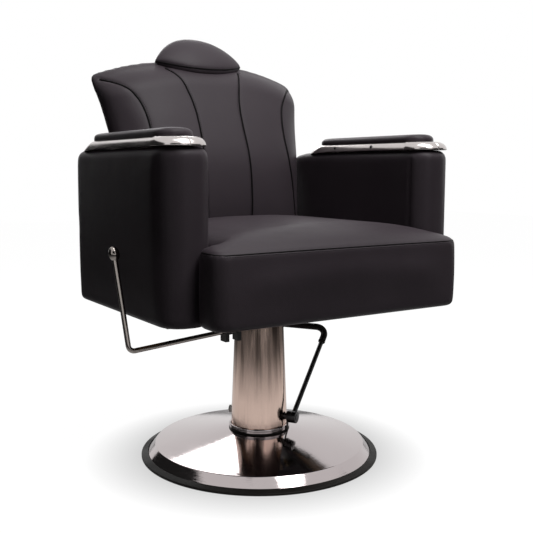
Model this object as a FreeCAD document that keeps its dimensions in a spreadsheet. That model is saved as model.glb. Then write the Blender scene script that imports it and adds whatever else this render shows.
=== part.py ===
import FreeCAD, Part
import math
import os
import re
import Sketcher

# Barber chair on a round pump base, in millimetres.
# The origin is the middle of the base on the floor, Z is up and the chair faces -Y.
# "right" is the sitter's right hand, at -X, and "left" is at +X.

SIZES = {
    # round base
    "base_radius": 300,
    "rim_width": 37.7,
    "rim_edge": 5.5,
    "rim_top": 11.5,
    "dish_seat": 9,
    "rim_ledge": 17,
    "skirt_lean": 18.5,
    "dish_edge_height": 31.5,
    "dish_top": 78,
    "dish_height": 62,
    "dish_wall": 2.5,
    "dish_mouth": 64,
    "dish_curve": 30,
    "dish_edge_round": 3,
    "rim_round": 2,
    "floor_plate_thick": 8,
    # pump column
    "gasket_bore": 65,
    "gasket_thick": 4,
    "collar_radius": 76.5,
    "collar_height": 11,
    "collar_round": 2.5,
    "shroud_foot": 71,
    "shroud_waist": 69.6,
    "shroud_waist_height": 130,
    "shroud_head": 59.2,
    "shroud_top": 388,
    "shroud_wall": 1.6,
    "shroud_curve": 900,
    "shroud_hole": 10,
    "block_radius": 46,
    "block_top": 130,
    "flange_radius": 62,
    "flange_thick": 10,
    "tube_radius": 40,
    "tube_bore": 26,
    "gland_thick": 12,
    "gland_round": 3,
    "ram_radius": 25,
    "ram_foot": 140,
    "ram_show": 21,
    "piston_thick": 20,
    "spindle_radius": 16,
    "washer_thick": 3,
    # foot lever of the pump
    "base_turn": 31.8,
    "shaft_height": 100,
    "shaft_radius": 8,
    "shaft_near": 104,
    "shaft_far": 85,
    "nut_radius": 11,
    "nut_width": 10,
    "pedal_side": 93,
    "pedal_reach": 300,
    "pedal_tilt": 38.2,
    "pedal_rod": 6,
    "pedal_bend": 32,
    "pedal_end": 90,
    "sleeve_radius": 9,
    "sleeve_start": 246,
    "hub_radius": 15,
    "hub_width": 24,
    "finger_reach": 18,
    "finger_nose": 5,
    "finger_room": 6,
    "plunger_radius": 7,
    "plunger_length": 35,
    "plunger_depth": 60,
    # seat carrier
    "plate_bottom": 402,
    "plate_thick": 8,
    "plate_half": 100,
    "plate_round": 15,
    "boss_high": 21,
    "boss_foot": 38,
    "boss_head": 45,
    "bar_front": -105,
    "bar_rear": 75,
    "bar_width": 50,
    "bar_thick": 10,
    "rail_width": 25,
    "rail_height": 40,
    "rail_wall": 2.5,
    "rail_rear": 128,
    "bolt_radius": 5,
    "bolt_spread": 75,
    "bolt_head": 8,
    "bolt_head_high": 6,
    "bolt_nut_high": 8,
    "pump_bolt_head": 7.5,
    "pump_bolt_short": 1,
    "board_thick": 15,
    # seat cushion
    "seat_bottom": 405,
    "seat_front": -365,
    "seat_ear": 49.5,
    "seat_corner": 35,
    "seat_step": -283,
    "seat_fit": 1.5,
    "seat_rear": 124,
    "seat_edge": 556,
    "seat_notch_round": 8,
    "seat_rear_round": 20,
    "seat_side": 566.5,
    "seat_arch": 53,
    "seat_roll": 47,
    "seat_roll_round": 105,
    # arms
    "arm_inner": 278.5,
    "arm_outer": 391,
    "arm_front": -279.5,
    "arm_rear": 262,
    "arm_top": 764,
    "arm_front_outer_round": 55,
    "arm_front_inner_round": 42,
    "arm_rear_outer_round": 66,
    "arm_rear_inner_round": 8,
    "arm_drop": 12,
    "arm_foot_round": 25,
    "arm_slope": 57,
    "arm_fall": 20,
    "core_thick": 60,
    "core_margin": 55,
    "trim_half": 51,
    "trim_front": -272,
    "trim_rear": 205,
    "trim_round": 46,
    "trim_height": 20,
    "trim_top_half": 46.5,
    "trim_top_front": -256,
    "trim_top_rear": 169,
    "trim_top_round": 44,
    "trim_wall": 6,
    "cap_wall": 2.4,
    "cap_rear": -212,
    "pad_half": 43,
    "pad_front": -240,
    "pad_rear": 163,
    "pad_thick": 17,
    "pad_round": 9,
    "arm_plate_inset": 45,
    "arm_plate_long": 100,
    # back hinge
    "pivot_y": 210,
    "pivot_z": 470,
    "pin_radius": 8,
    "pin_eye": 16,
    "hinge_front": 20,
    "hinge_round": 15,
    "spacer_gap": 2,
    "side_plate_thick": 6,
    "side_plate_in": 225,
    "side_plate_rise": 85,
    "side_plate_gap": 4,
    "hinge_tube": 12,
    "ease": 4,
    # back, by level from the foot to the peak
    "foot_drop": 18,
    "foot_half": 262,
    "foot_front": 133,
    "foot_rear": 236,
    "waist_height": 585,
    "waist_half": 264,
    "waist_front": 140,
    "waist_rear": 245,
    "chest_height": 760,
    "chest_half": 276,
    "chest_front": 163,
    "chest_rear": 280,
    "shoulder_height": 875,
    "shoulder_half": 296,
    "shoulder_front": 209,
    "shoulder_rear": 312,
    "corner_height": 943,
    "corner_half": 306,
    "corner_front": 246,
    "corner_rear": 331,
    "brow_height": 968,
    "brow_half": 275,
    "brow_front": 275,
    "brow_rear": 335,
    "crest_height": 992,
    "crest_half": 205,
    "crest_front": 305,
    "crest_rear": 338,
    "peak_height": 1008,
    "peak_half": 70,
    "peak_front": 318,
    "peak_rear": 335,
    "foot_bevel": 0.35,
    "waist_bevel": 0.68,
    "chest_bevel": 0.68,
    "shoulder_bevel": 0.68,
    "corner_bevel": 0.68,
    "brow_bevel": 0.68,
    "crest_bevel": 0.68,
    "peak_bevel": 0.68,
    "back_lean": 15,
    "back_board_y": 170,
    "back_board_long": 495,
    "back_board_half": 262,
    "board_shoulder_round": 40,
    "board_top_round": 60,
    # headrest
    "socket_width": 40,
    "socket_depth": 16,
    "socket_foot": 330,
    "socket_top": 500,
    "post_width": 30,
    "post_thick": 6,
    "post_foot": 345,
    "head_y": 309,
    "head_z": 995.3,
    "head_lean": 45.8,
    "head_half": 140,
    "head_tip": 4.4,
    "head_low": 56,
    "head_high": 120,
    "head_low_curve": 180,
    "head_high_curve": 90,
    "head_tip_round": 6,
    "head_gap": 7,
    "head_thick": 35,
    "head_bow_radius": 314,
    "head_crown_radius": 105,
    "head_middle": 27,
    "head_board_thick": 8,
    "head_board_round": 20,
    "head_plate_half": 40,
    "head_plate_foot": -14,
    "head_plate_high": 44,
    "head_plate_thick": 4,
    # recline lock cylinder
    "lock_x": -150,
    "crank_reach": 98,
    "crank_start": 22.5,
    "crank_thick": 8,
    "crank_shoulder": 20,
    "crank_rise": 18,
    "crank_tip": 11,
    "crank_round": 6,
    "lock_z": 375.8,
    "barrel_radius": 14,
    "barrel_bore": 12,
    "barrel_front": -100,
    "barrel_rear": 88,
    "barrel_head": 14,
    "barrel_nose": 22,
    "barrel_round": 2,
    "piston_long": 14,
    "rod_radius": 6,
    "rod_front": 8,
    "clevis_pin": 5,
    "clevis_half": 11,
    "clevis_pin_over": 3,
    "fork_high": 17,
    "fork_web": 4,
    "fork_front": 25,
    "fork_long": 40,
    "fork_play": 0.6,
    "fork_side_play": 1,
    "hanger_thick": 8,
    "hanger_wall": 6,
    "hanger_front": -96,
    "hanger_rear": 71,
    "button_radius": 4,
    "button_hold": 14,
    # recline lever
    "lever_x": -403,
    "lever_y": -115,
    "lever_z": 329.2,
    "lever_tilt": 4.6,
    "lever_lean": 8.6,
    "lever_rod": 5.75,
    "lever_bend": 30,
    "lever_leg": 206.6,
    "knob_radius": 12,
    "knob_half": 16,
    "knob_depth": 10,
    "bearing_thick": 10,
    "bearing_half": 12,
    "bearing_under": 4,
    "bearing_reach": 16,
    "lever_end": 4,
    "cam_swing": 7.5,
    "cam_nose": 5,
    "cam_hub": 10,
    "cam_hub_wide": 10,
    "cam_wide": 8,
    # fits
    "slack": 0.3,
    "running": 0.06,
}

doc = FreeCAD.newDocument("barber_chair")
sheet = doc.addObject("Spreadsheet::Sheet", "Sizes")
for row, (alias, size) in enumerate(SIZES.items(), start=1):
    sheet.set(f"A{row}", alias)
    sheet.set(f"B{row}", str(size))
    sheet.setAlias(f"B{row}", alias)
doc.recompute()

PIECES = []


def number(formula):
    """The present value of a formula that names sizes of the sheet."""
    return float(sheet.evalExpression(formula))


def linked(formula):
    """The same formula with each size named by its place in the sheet."""
    return re.sub(r"[a-z]\w*", lambda word: "Sizes." + word[0] if word[0] in SIZES else word[0], formula)


def bind(item, name, formula):
    item.setExpression(name, linked(formula))


def spot(x="0", y="0", z="0", yaw="0", pitch="0", roll="0"):
    """A placement formula: a point and the turns about Z, Y and X."""
    return f"placement(vector({x}; {y}; {z}); rotation({yaw}; {pitch}; {roll}))"


def along_x(x, y, z):
    return spot(x, y, z, pitch="90")


def along_y(x, y, z):
    return spot(x, y, z, roll="-90")


def keep(item, label):
    """Names an item as one of the pieces that are written out."""
    item.Label = label
    PIECES.append(item)
    return item


def box(name, x, y, z, dx, dy, dz, frame=None):
    """A box by its lowest corner and its three sizes, in the chair's frame or another."""
    item = doc.addObject("Part::Box", name)
    bind(item, "Length", dx)
    bind(item, "Width", dy)
    bind(item, "Height", dz)
    corner = spot(x, y, z)
    bind(item, "Placement", f"{frame} * {corner}" if frame else corner)
    return item


def rod(name, radius, length, where):
    """A round bar that starts at a placement and runs along its Z."""
    item = doc.addObject("Part::Cylinder", name)
    bind(item, "Radius", radius)
    bind(item, "Height", length)
    bind(item, "Placement", where)
    return item


def fuse(name, items):
    item = doc.addObject("Part::MultiFuse", name)
    item.Shapes = items
    return item


def group(name, items):
    item = doc.addObject("Part::Compound", name)
    item.Links = items
    return item


def shared(name, items):
    """The space that all the items have in common."""
    item = doc.addObject("Part::MultiCommon", name)
    item.Shapes = items
    return item


def cut(name, base, *tools):
    """The base with every tool taken away."""
    item = doc.addObject("Part::Cut", name)
    item.Base = base
    item.Tool = tools[0] if len(tools) == 1 else fuse(name + "_tools", list(tools))
    return item


def sketch_on(body, name, role, offset="0"):
    """An empty sketch on one of the body's own origin planes, moved along its normal."""
    sketch = body.newObject("Sketcher::SketchObject", name)
    plane = [item for item in body.Origin.OriginFeatures if item.Role == role][0]
    sketch.AttachmentSupport = [(plane, "")]
    sketch.MapMode = "FlatFace"
    bind(sketch, "AttachmentOffset.Base.z", offset)
    return sketch


def fix(sketch, kind, geometry, point, formula, name):
    """A distance from the sketch's origin that follows a formula."""
    index = sketch.addConstraint(Sketcher.Constraint(kind, -1, 1, geometry, point, number(formula)))
    sketch.renameConstraint(index, name)
    bind(sketch, f"Constraints.{name}", formula)


def trace(sketch, corners, closed=True):
    """Straight edges through corners of two formulas; a third formula rounds that corner."""
    count = len(corners)
    at = [FreeCAD.Vector(number(corner[0]), number(corner[1]), 0) for corner in corners]
    starts = list(at)
    ends = list(at)
    arcs = {}
    for i, corner in enumerate(corners):
        if len(corner) < 3:
            continue
        radius = number(corner[2])
        to_last = (at[i - 1] - at[i]).normalize()
        to_next = (at[(i + 1) % count] - at[i]).normalize()
        half = to_last.getAngle(to_next) / 2
        reach = radius / math.tan(half)
        ends[i] = at[i] + to_last * reach
        starts[i] = at[i] + to_next * reach
        middle = (to_last + to_next).normalize()
        centre = at[i] + middle * (reach ** 2 + radius ** 2) ** 0.5
        arcs[i] = Part.Arc(ends[i], centre - middle * radius, starts[i])
    edges = []
    for i in range(count if closed else count - 1):
        after = (i + 1) % count
        edges.append(sketch.addGeometry(Part.LineSegment(starts[i], ends[after]), False))
    for i, corner in enumerate(corners):
        last = edges[i - 1] if closed or i > 0 else None
        after = edges[i] if i < len(edges) else None
        if i in arcs:
            arc = sketch.addGeometry(arcs[i], False)
            mark = sketch.addGeometry(Part.Point(at[i]), True)
            first = 1 if (sketch.getPoint(arc, 1) - ends[i]).Length < 1e-6 else 2
            sketch.addConstraint(Sketcher.Constraint("Tangent", last, 2, arc, first))
            sketch.addConstraint(Sketcher.Constraint("Tangent", arc, 3 - first, after, 1))
            sketch.addConstraint(Sketcher.Constraint("PointOnObject", mark, 1, last))
            sketch.addConstraint(Sketcher.Constraint("PointOnObject", mark, 1, after))
            index = sketch.addConstraint(Sketcher.Constraint("Radius", arc, number(corner[2])))
            sketch.renameConstraint(index, f"r{i}")
            bind(sketch, f"Constraints.r{i}", corner[2])
            held = (mark, 1)
        else:
            if last is not None and after is not None:
                sketch.addConstraint(Sketcher.Constraint("Coincident", last, 2, after, 1))
            held = (after, 1) if after is not None else (last, 2)
        fix(sketch, "DistanceX", *held, corner[0], f"x{i}")
        fix(sketch, "DistanceY", *held, corner[1], f"y{i}")


def ring(sketch, x, y, radius, name="c"):
    """A circle at a bound point with a bound radius."""
    centre = FreeCAD.Vector(number(x), number(y), 0)
    circle = sketch.addGeometry(Part.Circle(centre, FreeCAD.Vector(0, 0, 1), number(radius)), False)
    index = sketch.addConstraint(Sketcher.Constraint("Radius", circle, number(radius)))
    sketch.renameConstraint(index, name + "r")
    bind(sketch, f"Constraints.{name}r", radius)
    fix(sketch, "DistanceX", circle, 3, x, name + "x")
    fix(sketch, "DistanceY", circle, 3, y, name + "y")


def new_body(name, where=None):
    body = doc.addObject("PartDesign::Body", name)
    if where:
        bind(body, "Placement", where)
    return body


def pad(body, sketch, length):
    feature = body.newObject("PartDesign::Pad", sketch.Name + "_pad")
    feature.Profile = sketch
    bind(feature, "Length", length)
    sketch.Visibility = False
    doc.recompute()
    return feature


def plate(name, role, corners, start, thick, where=None):
    """An outline on one origin plane given a thickness along the plane's normal."""
    body = new_body(name, where)
    sketch = sketch_on(body, name + "_outline", role, start)
    trace(sketch, corners)
    pad(body, sketch, thick)
    return body


def turned(name, corners, where=None):
    """A profile of radius and height turned about the body's Z."""
    body = new_body(name, where)
    sketch = sketch_on(body, name + "_profile", "XZ_Plane")
    trace(sketch, corners)
    feature = body.newObject("PartDesign::Revolution", name + "_turn")
    feature.Profile = sketch
    feature.ReferenceAxis = (sketch, ["V_Axis"])
    feature.Angle = 360
    doc.recompute()
    return body


def bent(name, corners, radius, where, bore=None):
    """A round rod, or a tube if it has a bore, swept along a bent path in the body's XZ plane."""
    body = new_body(name, where)
    path = sketch_on(body, name + "_path", "XZ_Plane")
    trace(path, corners, closed=False)
    profile = sketch_on(body, name + "_round", "YZ_Plane", corners[0][0])
    ring(profile, "0", corners[0][1], radius)
    if bore:
        ring(profile, "0", corners[0][1], bore, "b")
    doc.recompute()
    feature = body.newObject("PartDesign::AdditivePipe", name + "_pipe")
    feature.Profile = profile
    feature.Spine = path
    doc.recompute()
    return body


def rounded(body, radius, pick):
    """Rounds the edges of the body that pick(edge) accepts."""
    base = body.Tip
    names = [f"Edge{i}" for i, edge in enumerate(base.Shape.Edges, start=1) if pick(edge)]
    feature = body.newObject("PartDesign::Fillet", f"{body.Name}_round{len(body.Group)}")
    feature.Base = (base, names)
    bind(feature, "Radius", radius)
    doc.recompute()


def spans(edge, axis):
    """The lowest and highest value of an edge along X, Y or Z."""
    limits = edge.BoundBox
    return getattr(limits, axis + "Min"), getattr(limits, axis + "Max")


def lies_at(edge, axis, value):
    low, high = spans(edge, axis)
    return abs(low - value) < 0.01 and abs(high - value) < 0.01


# Floor plate: a flat steel disc that carries the pump and is the face the chair stands on
RIM_INNER = "(base_radius - rim_width)"
DISH_FOOT = "(base_radius - rim_ledge)"
DISH_EDGE = f"({DISH_FOOT} - skirt_lean)"
floor_disc = rod("floor_disc", f"{RIM_INNER} - slack", "floor_plate_thick", spot())
PUMP_BOLT_RADIUS = "(flange_radius + block_radius) / 2"


def pump_bolt_spot(i, height):
    turn = f"base_turn + 45 + {90 * i}"
    return spot(f"{PUMP_BOLT_RADIUS} * cos({turn})", f"{PUMP_BOLT_RADIUS} * sin({turn})", height)


plate_holes = [rod(f"plate_hole_{i}", "bolt_radius + running", "floor_plate_thick", pump_bolt_spot(i, "0"))
               for i in range(4)]
keep(cut("floor_plate", floor_disc, *plate_holes), "floor_plate")

# Rim: a rubber ring around the plate with a step that the dish stands in
keep(turned("base_rim", [
    (RIM_INNER, "0"),
    ("base_radius", "0"),
    ("base_radius", "rim_edge", "rim_round"),
    (f"{DISH_FOOT} + slack", "rim_top"),
    (f"{DISH_FOOT} + slack", "dish_seat"),
    (RIM_INNER, "dish_seat"),
]), "base_rim")

# Dish: a spun chrome shell with a steep skirt, a shallow cone and a flat shelf for the column
keep(turned("base_dish", [
    (DISH_FOOT, "dish_seat"),
    (DISH_EDGE, "dish_edge_height", "dish_edge_round"),
    ("dish_top", "dish_height", "dish_curve"),
    ("dish_mouth", "dish_height"),
    ("dish_mouth", "dish_height - dish_wall"),
    ("dish_top", "dish_height - dish_wall", "dish_curve"),
    (f"{DISH_EDGE} - dish_wall / 2", "dish_edge_height - dish_wall", "dish_edge_round / 2"),
    (f"{DISH_FOOT} - dish_wall", "dish_seat"),
]), "base_dish")

# Gasket and collar: a rubber ring and a chrome band around the foot of the column
keep(turned("shroud_gasket", [
    ("gasket_bore", "dish_height"),
    ("collar_radius", "dish_height"),
    ("collar_radius", "dish_height + gasket_thick"),
    ("gasket_bore", "dish_height + gasket_thick"),
]), "shroud_gasket")
keep(turned("shroud_collar", [
    ("shroud_foot + slack", "dish_height + gasket_thick"),
    ("collar_radius", "dish_height + gasket_thick"),
    ("collar_radius", "dish_height + gasket_thick + collar_height", "collar_round"),
    ("shroud_foot + slack", "dish_height + gasket_thick + collar_height"),
]), "shroud_collar")

# Shroud: a tapered chrome tube with a round opening on each side for the pump shaft
shroud_shell = turned("shroud_shell", [
    ("shroud_foot", "dish_height + gasket_thick"),
    ("shroud_waist", "shroud_waist_height", "shroud_curve"),
    ("shroud_head", "shroud_top"),
    ("shroud_head - shroud_wall", "shroud_top"),
    ("shroud_waist - shroud_wall", "shroud_waist_height", "shroud_curve"),
    ("shroud_foot - shroud_wall", "dish_height + gasket_thick"),
])
PUMP_FRAME = spot("0", "0", "shaft_height", yaw="base_turn")


def across_pump(x, y, z):
    """A placement in the pump's own frame whose Z runs along the shaft."""
    return f"{PUMP_FRAME} * {along_y(x, y, z)}"


shaft_openings = rod("shaft_openings", "shroud_hole", "4 * shroud_foot",
                     across_pump("0", "-2 * shroud_foot", "0"))
keep(cut("pump_shroud", shroud_shell, shaft_openings), "pump_shroud")

# Pump block: the cast foot of the pump with the shaft bore, the finger's chamber and the plunger bore
block_body = turned("block_body", [
    ("0", "floor_plate_thick"),
    ("flange_radius", "floor_plate_thick"),
    ("flange_radius", "floor_plate_thick + flange_thick"),
    ("block_radius", "floor_plate_thick + flange_thick"),
    ("block_radius", "block_top"),
    ("0", "block_top"),
])
shaft_bore = rod("shaft_bore", "shaft_radius + running", "4 * block_radius",
                 across_pump("0", "-2 * block_radius", "0"))
chamber = box("chamber", "-shaft_radius - ease", "-finger_nose - ease / 2", "-shaft_radius - finger_room",
              "shaft_radius + finger_reach + finger_nose + 2 * ease", "2 * finger_nose + ease",
              "2 * shaft_radius + 2 * finger_room", PUMP_FRAME)
plunger_bore = rod("plunger_bore", "plunger_radius + running", "plunger_depth - finger_room",
                   f"{PUMP_FRAME} * {spot('finger_reach', '0', '-plunger_depth')}")
flange_holes = [rod(f"flange_hole_{i}", "bolt_radius + running", "flange_thick",
                    pump_bolt_spot(i, "floor_plate_thick")) for i in range(4)]
keep(cut("pump_block", block_body, shaft_bore, chamber, plunger_bore, *flange_holes), "pump_block")


# Pump bolts: four that hold the block down on the floor plate
def pump_bolt(i):
    flange_top = "floor_plate_thick + flange_thick"
    shank = rod(f"pump_bolt_shank_{i}", "bolt_radius", f"{flange_top} - pump_bolt_short",
                pump_bolt_spot(i, "pump_bolt_short"))
    head = rod(f"pump_bolt_head_{i}", "pump_bolt_head", "bolt_head_high", pump_bolt_spot(i, flange_top))
    return fuse(f"pump_bolt_{i}", [shank, head])


keep(group("pump_bolts", [pump_bolt(i) for i in range(4)]), "pump_bolts")

# Pump tube and gland: the lift cylinder and the brass ring that guides the ram at its top
RAM_SHOULDER = "(plate_bottom - boss_high - washer_thick)"
TUBE_TOP = f"({RAM_SHOULDER} - ram_show - gland_thick)"
keep(turned("pump_tube", [
    ("tube_bore", "block_top"),
    ("tube_radius", "block_top"),
    ("tube_radius", TUBE_TOP),
    ("tube_bore", TUBE_TOP),
]), "pump_tube")
keep(turned("pump_gland", [
    ("ram_radius + running", TUBE_TOP),
    ("tube_radius", TUBE_TOP),
    ("tube_radius", f"{TUBE_TOP} + gland_thick", "gland_round"),
    ("ram_radius + running", f"{TUBE_TOP} + gland_thick"),
]), "pump_gland")

# Ram: a piston, its rod and a thinner spindle that the seat turns on, with a washer on the shoulder
keep(turned("lift_ram", [
    ("0", "ram_foot"),
    ("tube_bore - running", "ram_foot"),
    ("tube_bore - running", "ram_foot + piston_thick"),
    ("ram_radius", "ram_foot + piston_thick"),
    ("ram_radius", RAM_SHOULDER),
    ("spindle_radius", RAM_SHOULDER),
    ("spindle_radius", "plate_bottom + plate_thick"),
    ("0", "plate_bottom + plate_thick"),
]), "lift_ram")
keep(turned("swivel_washer", [
    ("spindle_radius + slack", RAM_SHOULDER),
    ("ram_radius", RAM_SHOULDER),
    ("ram_radius", f"{RAM_SHOULDER} + washer_thick"),
    ("spindle_radius + slack", f"{RAM_SHOULDER} + washer_thick"),
]), "swivel_washer")

# Pump shaft: a cross bar with a finger in the middle whose round nose presses the plunger, and a nut
shaft_bar = rod("shaft_bar", "shaft_radius", "shaft_near + shaft_far", across_pump("0", "-shaft_near", "0"))
finger_arm = box("finger_arm", "0", "-finger_nose", "-finger_nose", "finger_reach", "2 * finger_nose",
                 "2 * finger_nose", PUMP_FRAME)
finger_tip = rod("finger_tip", "finger_nose", "2 * finger_nose",
                 across_pump("finger_reach", "-finger_nose", "0"))
keep(fuse("pump_shaft", [shaft_bar, finger_arm, finger_tip]), "pump_shaft")
nut_start = across_pump("0", "shaft_far - 1.1 * nut_width", "0")
nut_drum = rod("nut_drum", "nut_radius", "nut_width", nut_start)
nut_bore = rod("nut_bore", "shaft_radius + running", "nut_width", nut_start)
keep(cut("pump_nut", nut_drum, nut_bore), "pump_nut")
keep(rod("pump_plunger", "plunger_radius", "plunger_length", f"{PUMP_FRAME} * " + spot(
    "finger_reach", "0", "-finger_nose - slack - plunger_length")), "pump_plunger")

# Pump pedal: one bent rod held by a hub on the near end of the shaft, with a rubber sleeve on the foot bar
PEDAL_FRAME = spot("0", "0", "shaft_height", yaw="base_turn", pitch="-pedal_tilt", roll="90")
pedal_start = "1.25 * shaft_radius"
keep(bent("pump_pedal", [
    (pedal_start, "pedal_side"),
    ("pedal_reach", "pedal_side", "pedal_bend"),
    ("pedal_reach", "-pedal_end"),
], "pedal_rod", PEDAL_FRAME), "pump_pedal")
keep(bent("pump_sleeve", [
    ("sleeve_start", "pedal_side"),
    ("pedal_reach", "pedal_side", "pedal_bend"),
    ("pedal_reach", "-pedal_end"),
], "sleeve_radius", PEDAL_FRAME, "pedal_rod + slack"), "pump_sleeve")
hub_start = across_pump("0", "-pedal_side - hub_width / 2", "0")
hub_drum = rod("hub_drum", "hub_radius", "hub_width", hub_start)
hub_bore = rod("hub_bore", "shaft_radius + running", "hub_width", hub_start)
hub_socket = rod("hub_socket", "pedal_rod + running", "hub_radius",
                 f"{PEDAL_FRAME} * {along_x(pedal_start, '0', 'pedal_side')}")
keep(cut("pump_hub", hub_drum, hub_bore, hub_socket), "pump_hub")

# Swivel plate: a steel plate with a boss that turns on the ram's spindle, bolted under the frame
swivel_boss = turned("swivel_boss", [
    ("spindle_radius + running", f"{RAM_SHOULDER} + washer_thick"),
    ("boss_foot", f"{RAM_SHOULDER} + washer_thick"),
    ("boss_head", "plate_bottom + plate_thick / 2"),
    ("spindle_radius + running", "plate_bottom + plate_thick / 2"),
])
plate_front = "bar_front - bar_width / 2"
plate_slab = plate("plate_slab", "XY_Plane", [
    ("-plate_half", plate_front, "plate_round"),
    ("plate_half", plate_front, "plate_round"),
    ("plate_half", "bar_rear + bar_width / 2", "plate_round"),
    ("-plate_half", "bar_rear + bar_width / 2", "plate_round"),
], "plate_bottom", "plate_thick")
spindle_hole = rod("spindle_hole", "spindle_radius + running", "plate_thick", spot(z="plate_bottom"))
BOLT_PLACES = [(f"{side} * bolt_spread", bar) for side in ("-1", "1") for bar in ("bar_front", "bar_rear")]


def bolt_holes(name, height, thick):
    return [rod(f"{name}_{i}", "bolt_radius + slack", thick, spot(x, y, height))
            for i, (x, y) in enumerate(BOLT_PLACES)]


swivel_fused = fuse("swivel_fused", [swivel_boss, plate_slab])
swivel_holes = bolt_holes("swivel_hole", "plate_bottom", "plate_thick")
keep(cut("swivel_plate", swivel_fused, spindle_hole, *swivel_holes), "swivel_plate")


# Swivel bolts: four with a head under the plate and a nut on the cross bar
def swivel_bolt(i, x, y):
    bar_top = "plate_bottom + plate_thick + bar_thick"
    shank = rod(f"swivel_shank_{i}", "bolt_radius", "plate_thick + bar_thick", spot(x, y, "plate_bottom"))
    head = rod(f"swivel_head_{i}", "bolt_head", "bolt_head_high",
               spot(x, y, "plate_bottom - bolt_head_high"))
    nut = rod(f"swivel_nut_{i}", "bolt_head", "bolt_nut_high", spot(x, y, bar_top))
    return fuse(f"swivel_bolt_{i}", [shank, head, nut])


keep(group("swivel_bolts", [swivel_bolt(i, x, y) for i, (x, y) in enumerate(BOLT_PLACES)]), "swivel_bolts")

# Seat frame: square tubes welded to a front rail, two side rails and two flat cross bars
FRAME_FOOT = "plate_bottom + plate_thick"
RAIL_OUT = "(arm_inner - side_plate_thick)"
RAIL_FRONT = "(seat_step - 2)"


def tube(name, x, y, dx, dy, inner):
    """A square tube with its wall, open at both ends along X or Y."""
    outside = box(name + "_outside", x, y, FRAME_FOOT, dx, dy, "rail_height")
    x_in, y_in, dx_in, dy_in = inner
    inside = box(name + "_inside", x_in, y_in, f"{FRAME_FOOT} + rail_wall", dx_in, dy_in,
                 "rail_height - 2 * rail_wall")
    return cut(name, outside, inside)


def side_rail(name, x):
    length = f"rail_rear - {RAIL_FRONT}"
    return tube(name, x, RAIL_FRONT, "rail_width", length,
                (f"{x} + rail_wall", f"{RAIL_FRONT} - 1", "rail_width - 2 * rail_wall", f"{length} + 2"))


def cross_bar(name, y):
    return box(name, f"-{RAIL_OUT} + rail_width", f"{y} - bar_width / 2", FRAME_FOOT,
               f"2 * {RAIL_OUT} - 2 * rail_width", "bar_width", "bar_thick")


front_rail = tube("front_rail", f"-{RAIL_OUT} + rail_width", RAIL_FRONT, f"2 * {RAIL_OUT} - 2 * rail_width",
                  "rail_width", (f"-{RAIL_OUT} + rail_width", f"{RAIL_FRONT} + rail_wall",
                                 f"2 * {RAIL_OUT} - 2 * rail_width", "rail_width - 2 * rail_wall"))
frame_welded = fuse("frame_welded", [
    side_rail("rail_right", f"-{RAIL_OUT}"),
    side_rail("rail_left", f"{RAIL_OUT} - rail_width"),
    front_rail,
    cross_bar("bar_one", "bar_front"),
    cross_bar("bar_two", "bar_rear"),
])
keep(cut("seat_frame", frame_welded, *bolt_holes("frame_hole", FRAME_FOOT, "bar_thick")), "seat_frame")

# Seat boards: plywood on the rails and a nose board in front of them
BOARD_FOOT = f"({FRAME_FOOT} + rail_height)"
keep(box("seat_board", f"-{RAIL_OUT}", RAIL_FRONT, BOARD_FOOT, f"2 * {RAIL_OUT}",
         f"seat_rear - {RAIL_FRONT}", "board_thick"), "seat_board")
SEAT_HALF = "(arm_inner + seat_ear)"
SEAT_INNER = "(arm_inner - seat_fit)"
keep(box("seat_nose_board", f"-{SEAT_HALF} + seat_corner / 2", f"{RAIL_FRONT} - board_thick", FRAME_FOOT,
         f"2 * {SEAT_HALF} - seat_corner", "board_thick", "rail_height + board_thick"), "seat_nose_board")

# Seat cushion: a T-shaped block under an arched top that rolls down to its front edge, with an apron in front
SEAT_FOOT = f"({BOARD_FOOT} + board_thick)"
SEAT_PEAK = "(seat_side + seat_arch)"
seat_block = plate("seat_block", "XY_Plane", [
    (f"-{SEAT_HALF}", "seat_front", "seat_corner"),
    (SEAT_HALF, "seat_front", "seat_corner"),
    (SEAT_HALF, "seat_step", "seat_notch_round"),
    (SEAT_INNER, "seat_step", "seat_notch_round"),
    (SEAT_INNER, "seat_rear", "seat_rear_round"),
    (f"-{SEAT_INNER}", "seat_rear", "seat_rear_round"),
    (f"-{SEAT_INNER}", "seat_step", "seat_notch_round"),
    (f"-{SEAT_HALF}", "seat_step", "seat_notch_round"),
], SEAT_FOOT, f"{SEAT_PEAK} - {SEAT_FOOT}")
seat_arch = plate("seat_arch", "XZ_Plane", [
    (f"-{SEAT_HALF}", SEAT_FOOT),
    (SEAT_HALF, SEAT_FOOT),
    (SEAT_HALF, "seat_side"),
    ("0", SEAT_PEAK, f"0.9 * {SEAT_HALF} ^ 2 / seat_arch"),
    (f"-{SEAT_HALF}", "seat_side"),
], "-seat_rear", "seat_rear - seat_front")
seat_roll = plate("seat_roll", "YZ_Plane", [
    ("seat_front", SEAT_FOOT),
    ("seat_rear", SEAT_FOOT),
    ("seat_rear", SEAT_PEAK),
    ("seat_front + seat_roll", "seat_edge + seat_roll", "seat_roll_round"),
    ("seat_front", "seat_edge"),
], f"-{SEAT_HALF}", f"2 * {SEAT_HALF}")
crowned_seat = shared("crowned_seat", [seat_block, seat_arch, seat_roll])
apron = plate("apron", "XY_Plane", [
    (f"-{SEAT_HALF}", "seat_front", "seat_corner"),
    (SEAT_HALF, "seat_front", "seat_corner"),
    (SEAT_HALF, f"{RAIL_FRONT} - board_thick"),
    (f"-{SEAT_HALF}", f"{RAIL_FRONT} - board_thick"),
], "seat_bottom", f"{SEAT_FOOT} - seat_bottom")
keep(fuse("seat_cushion", [crowned_seat, apron]), "seat_cushion")


# Arms: an upholstered box on a plywood core, a chrome loop and front cap, and a pad
ARM_FOOT = "(seat_bottom - arm_drop)"


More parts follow.
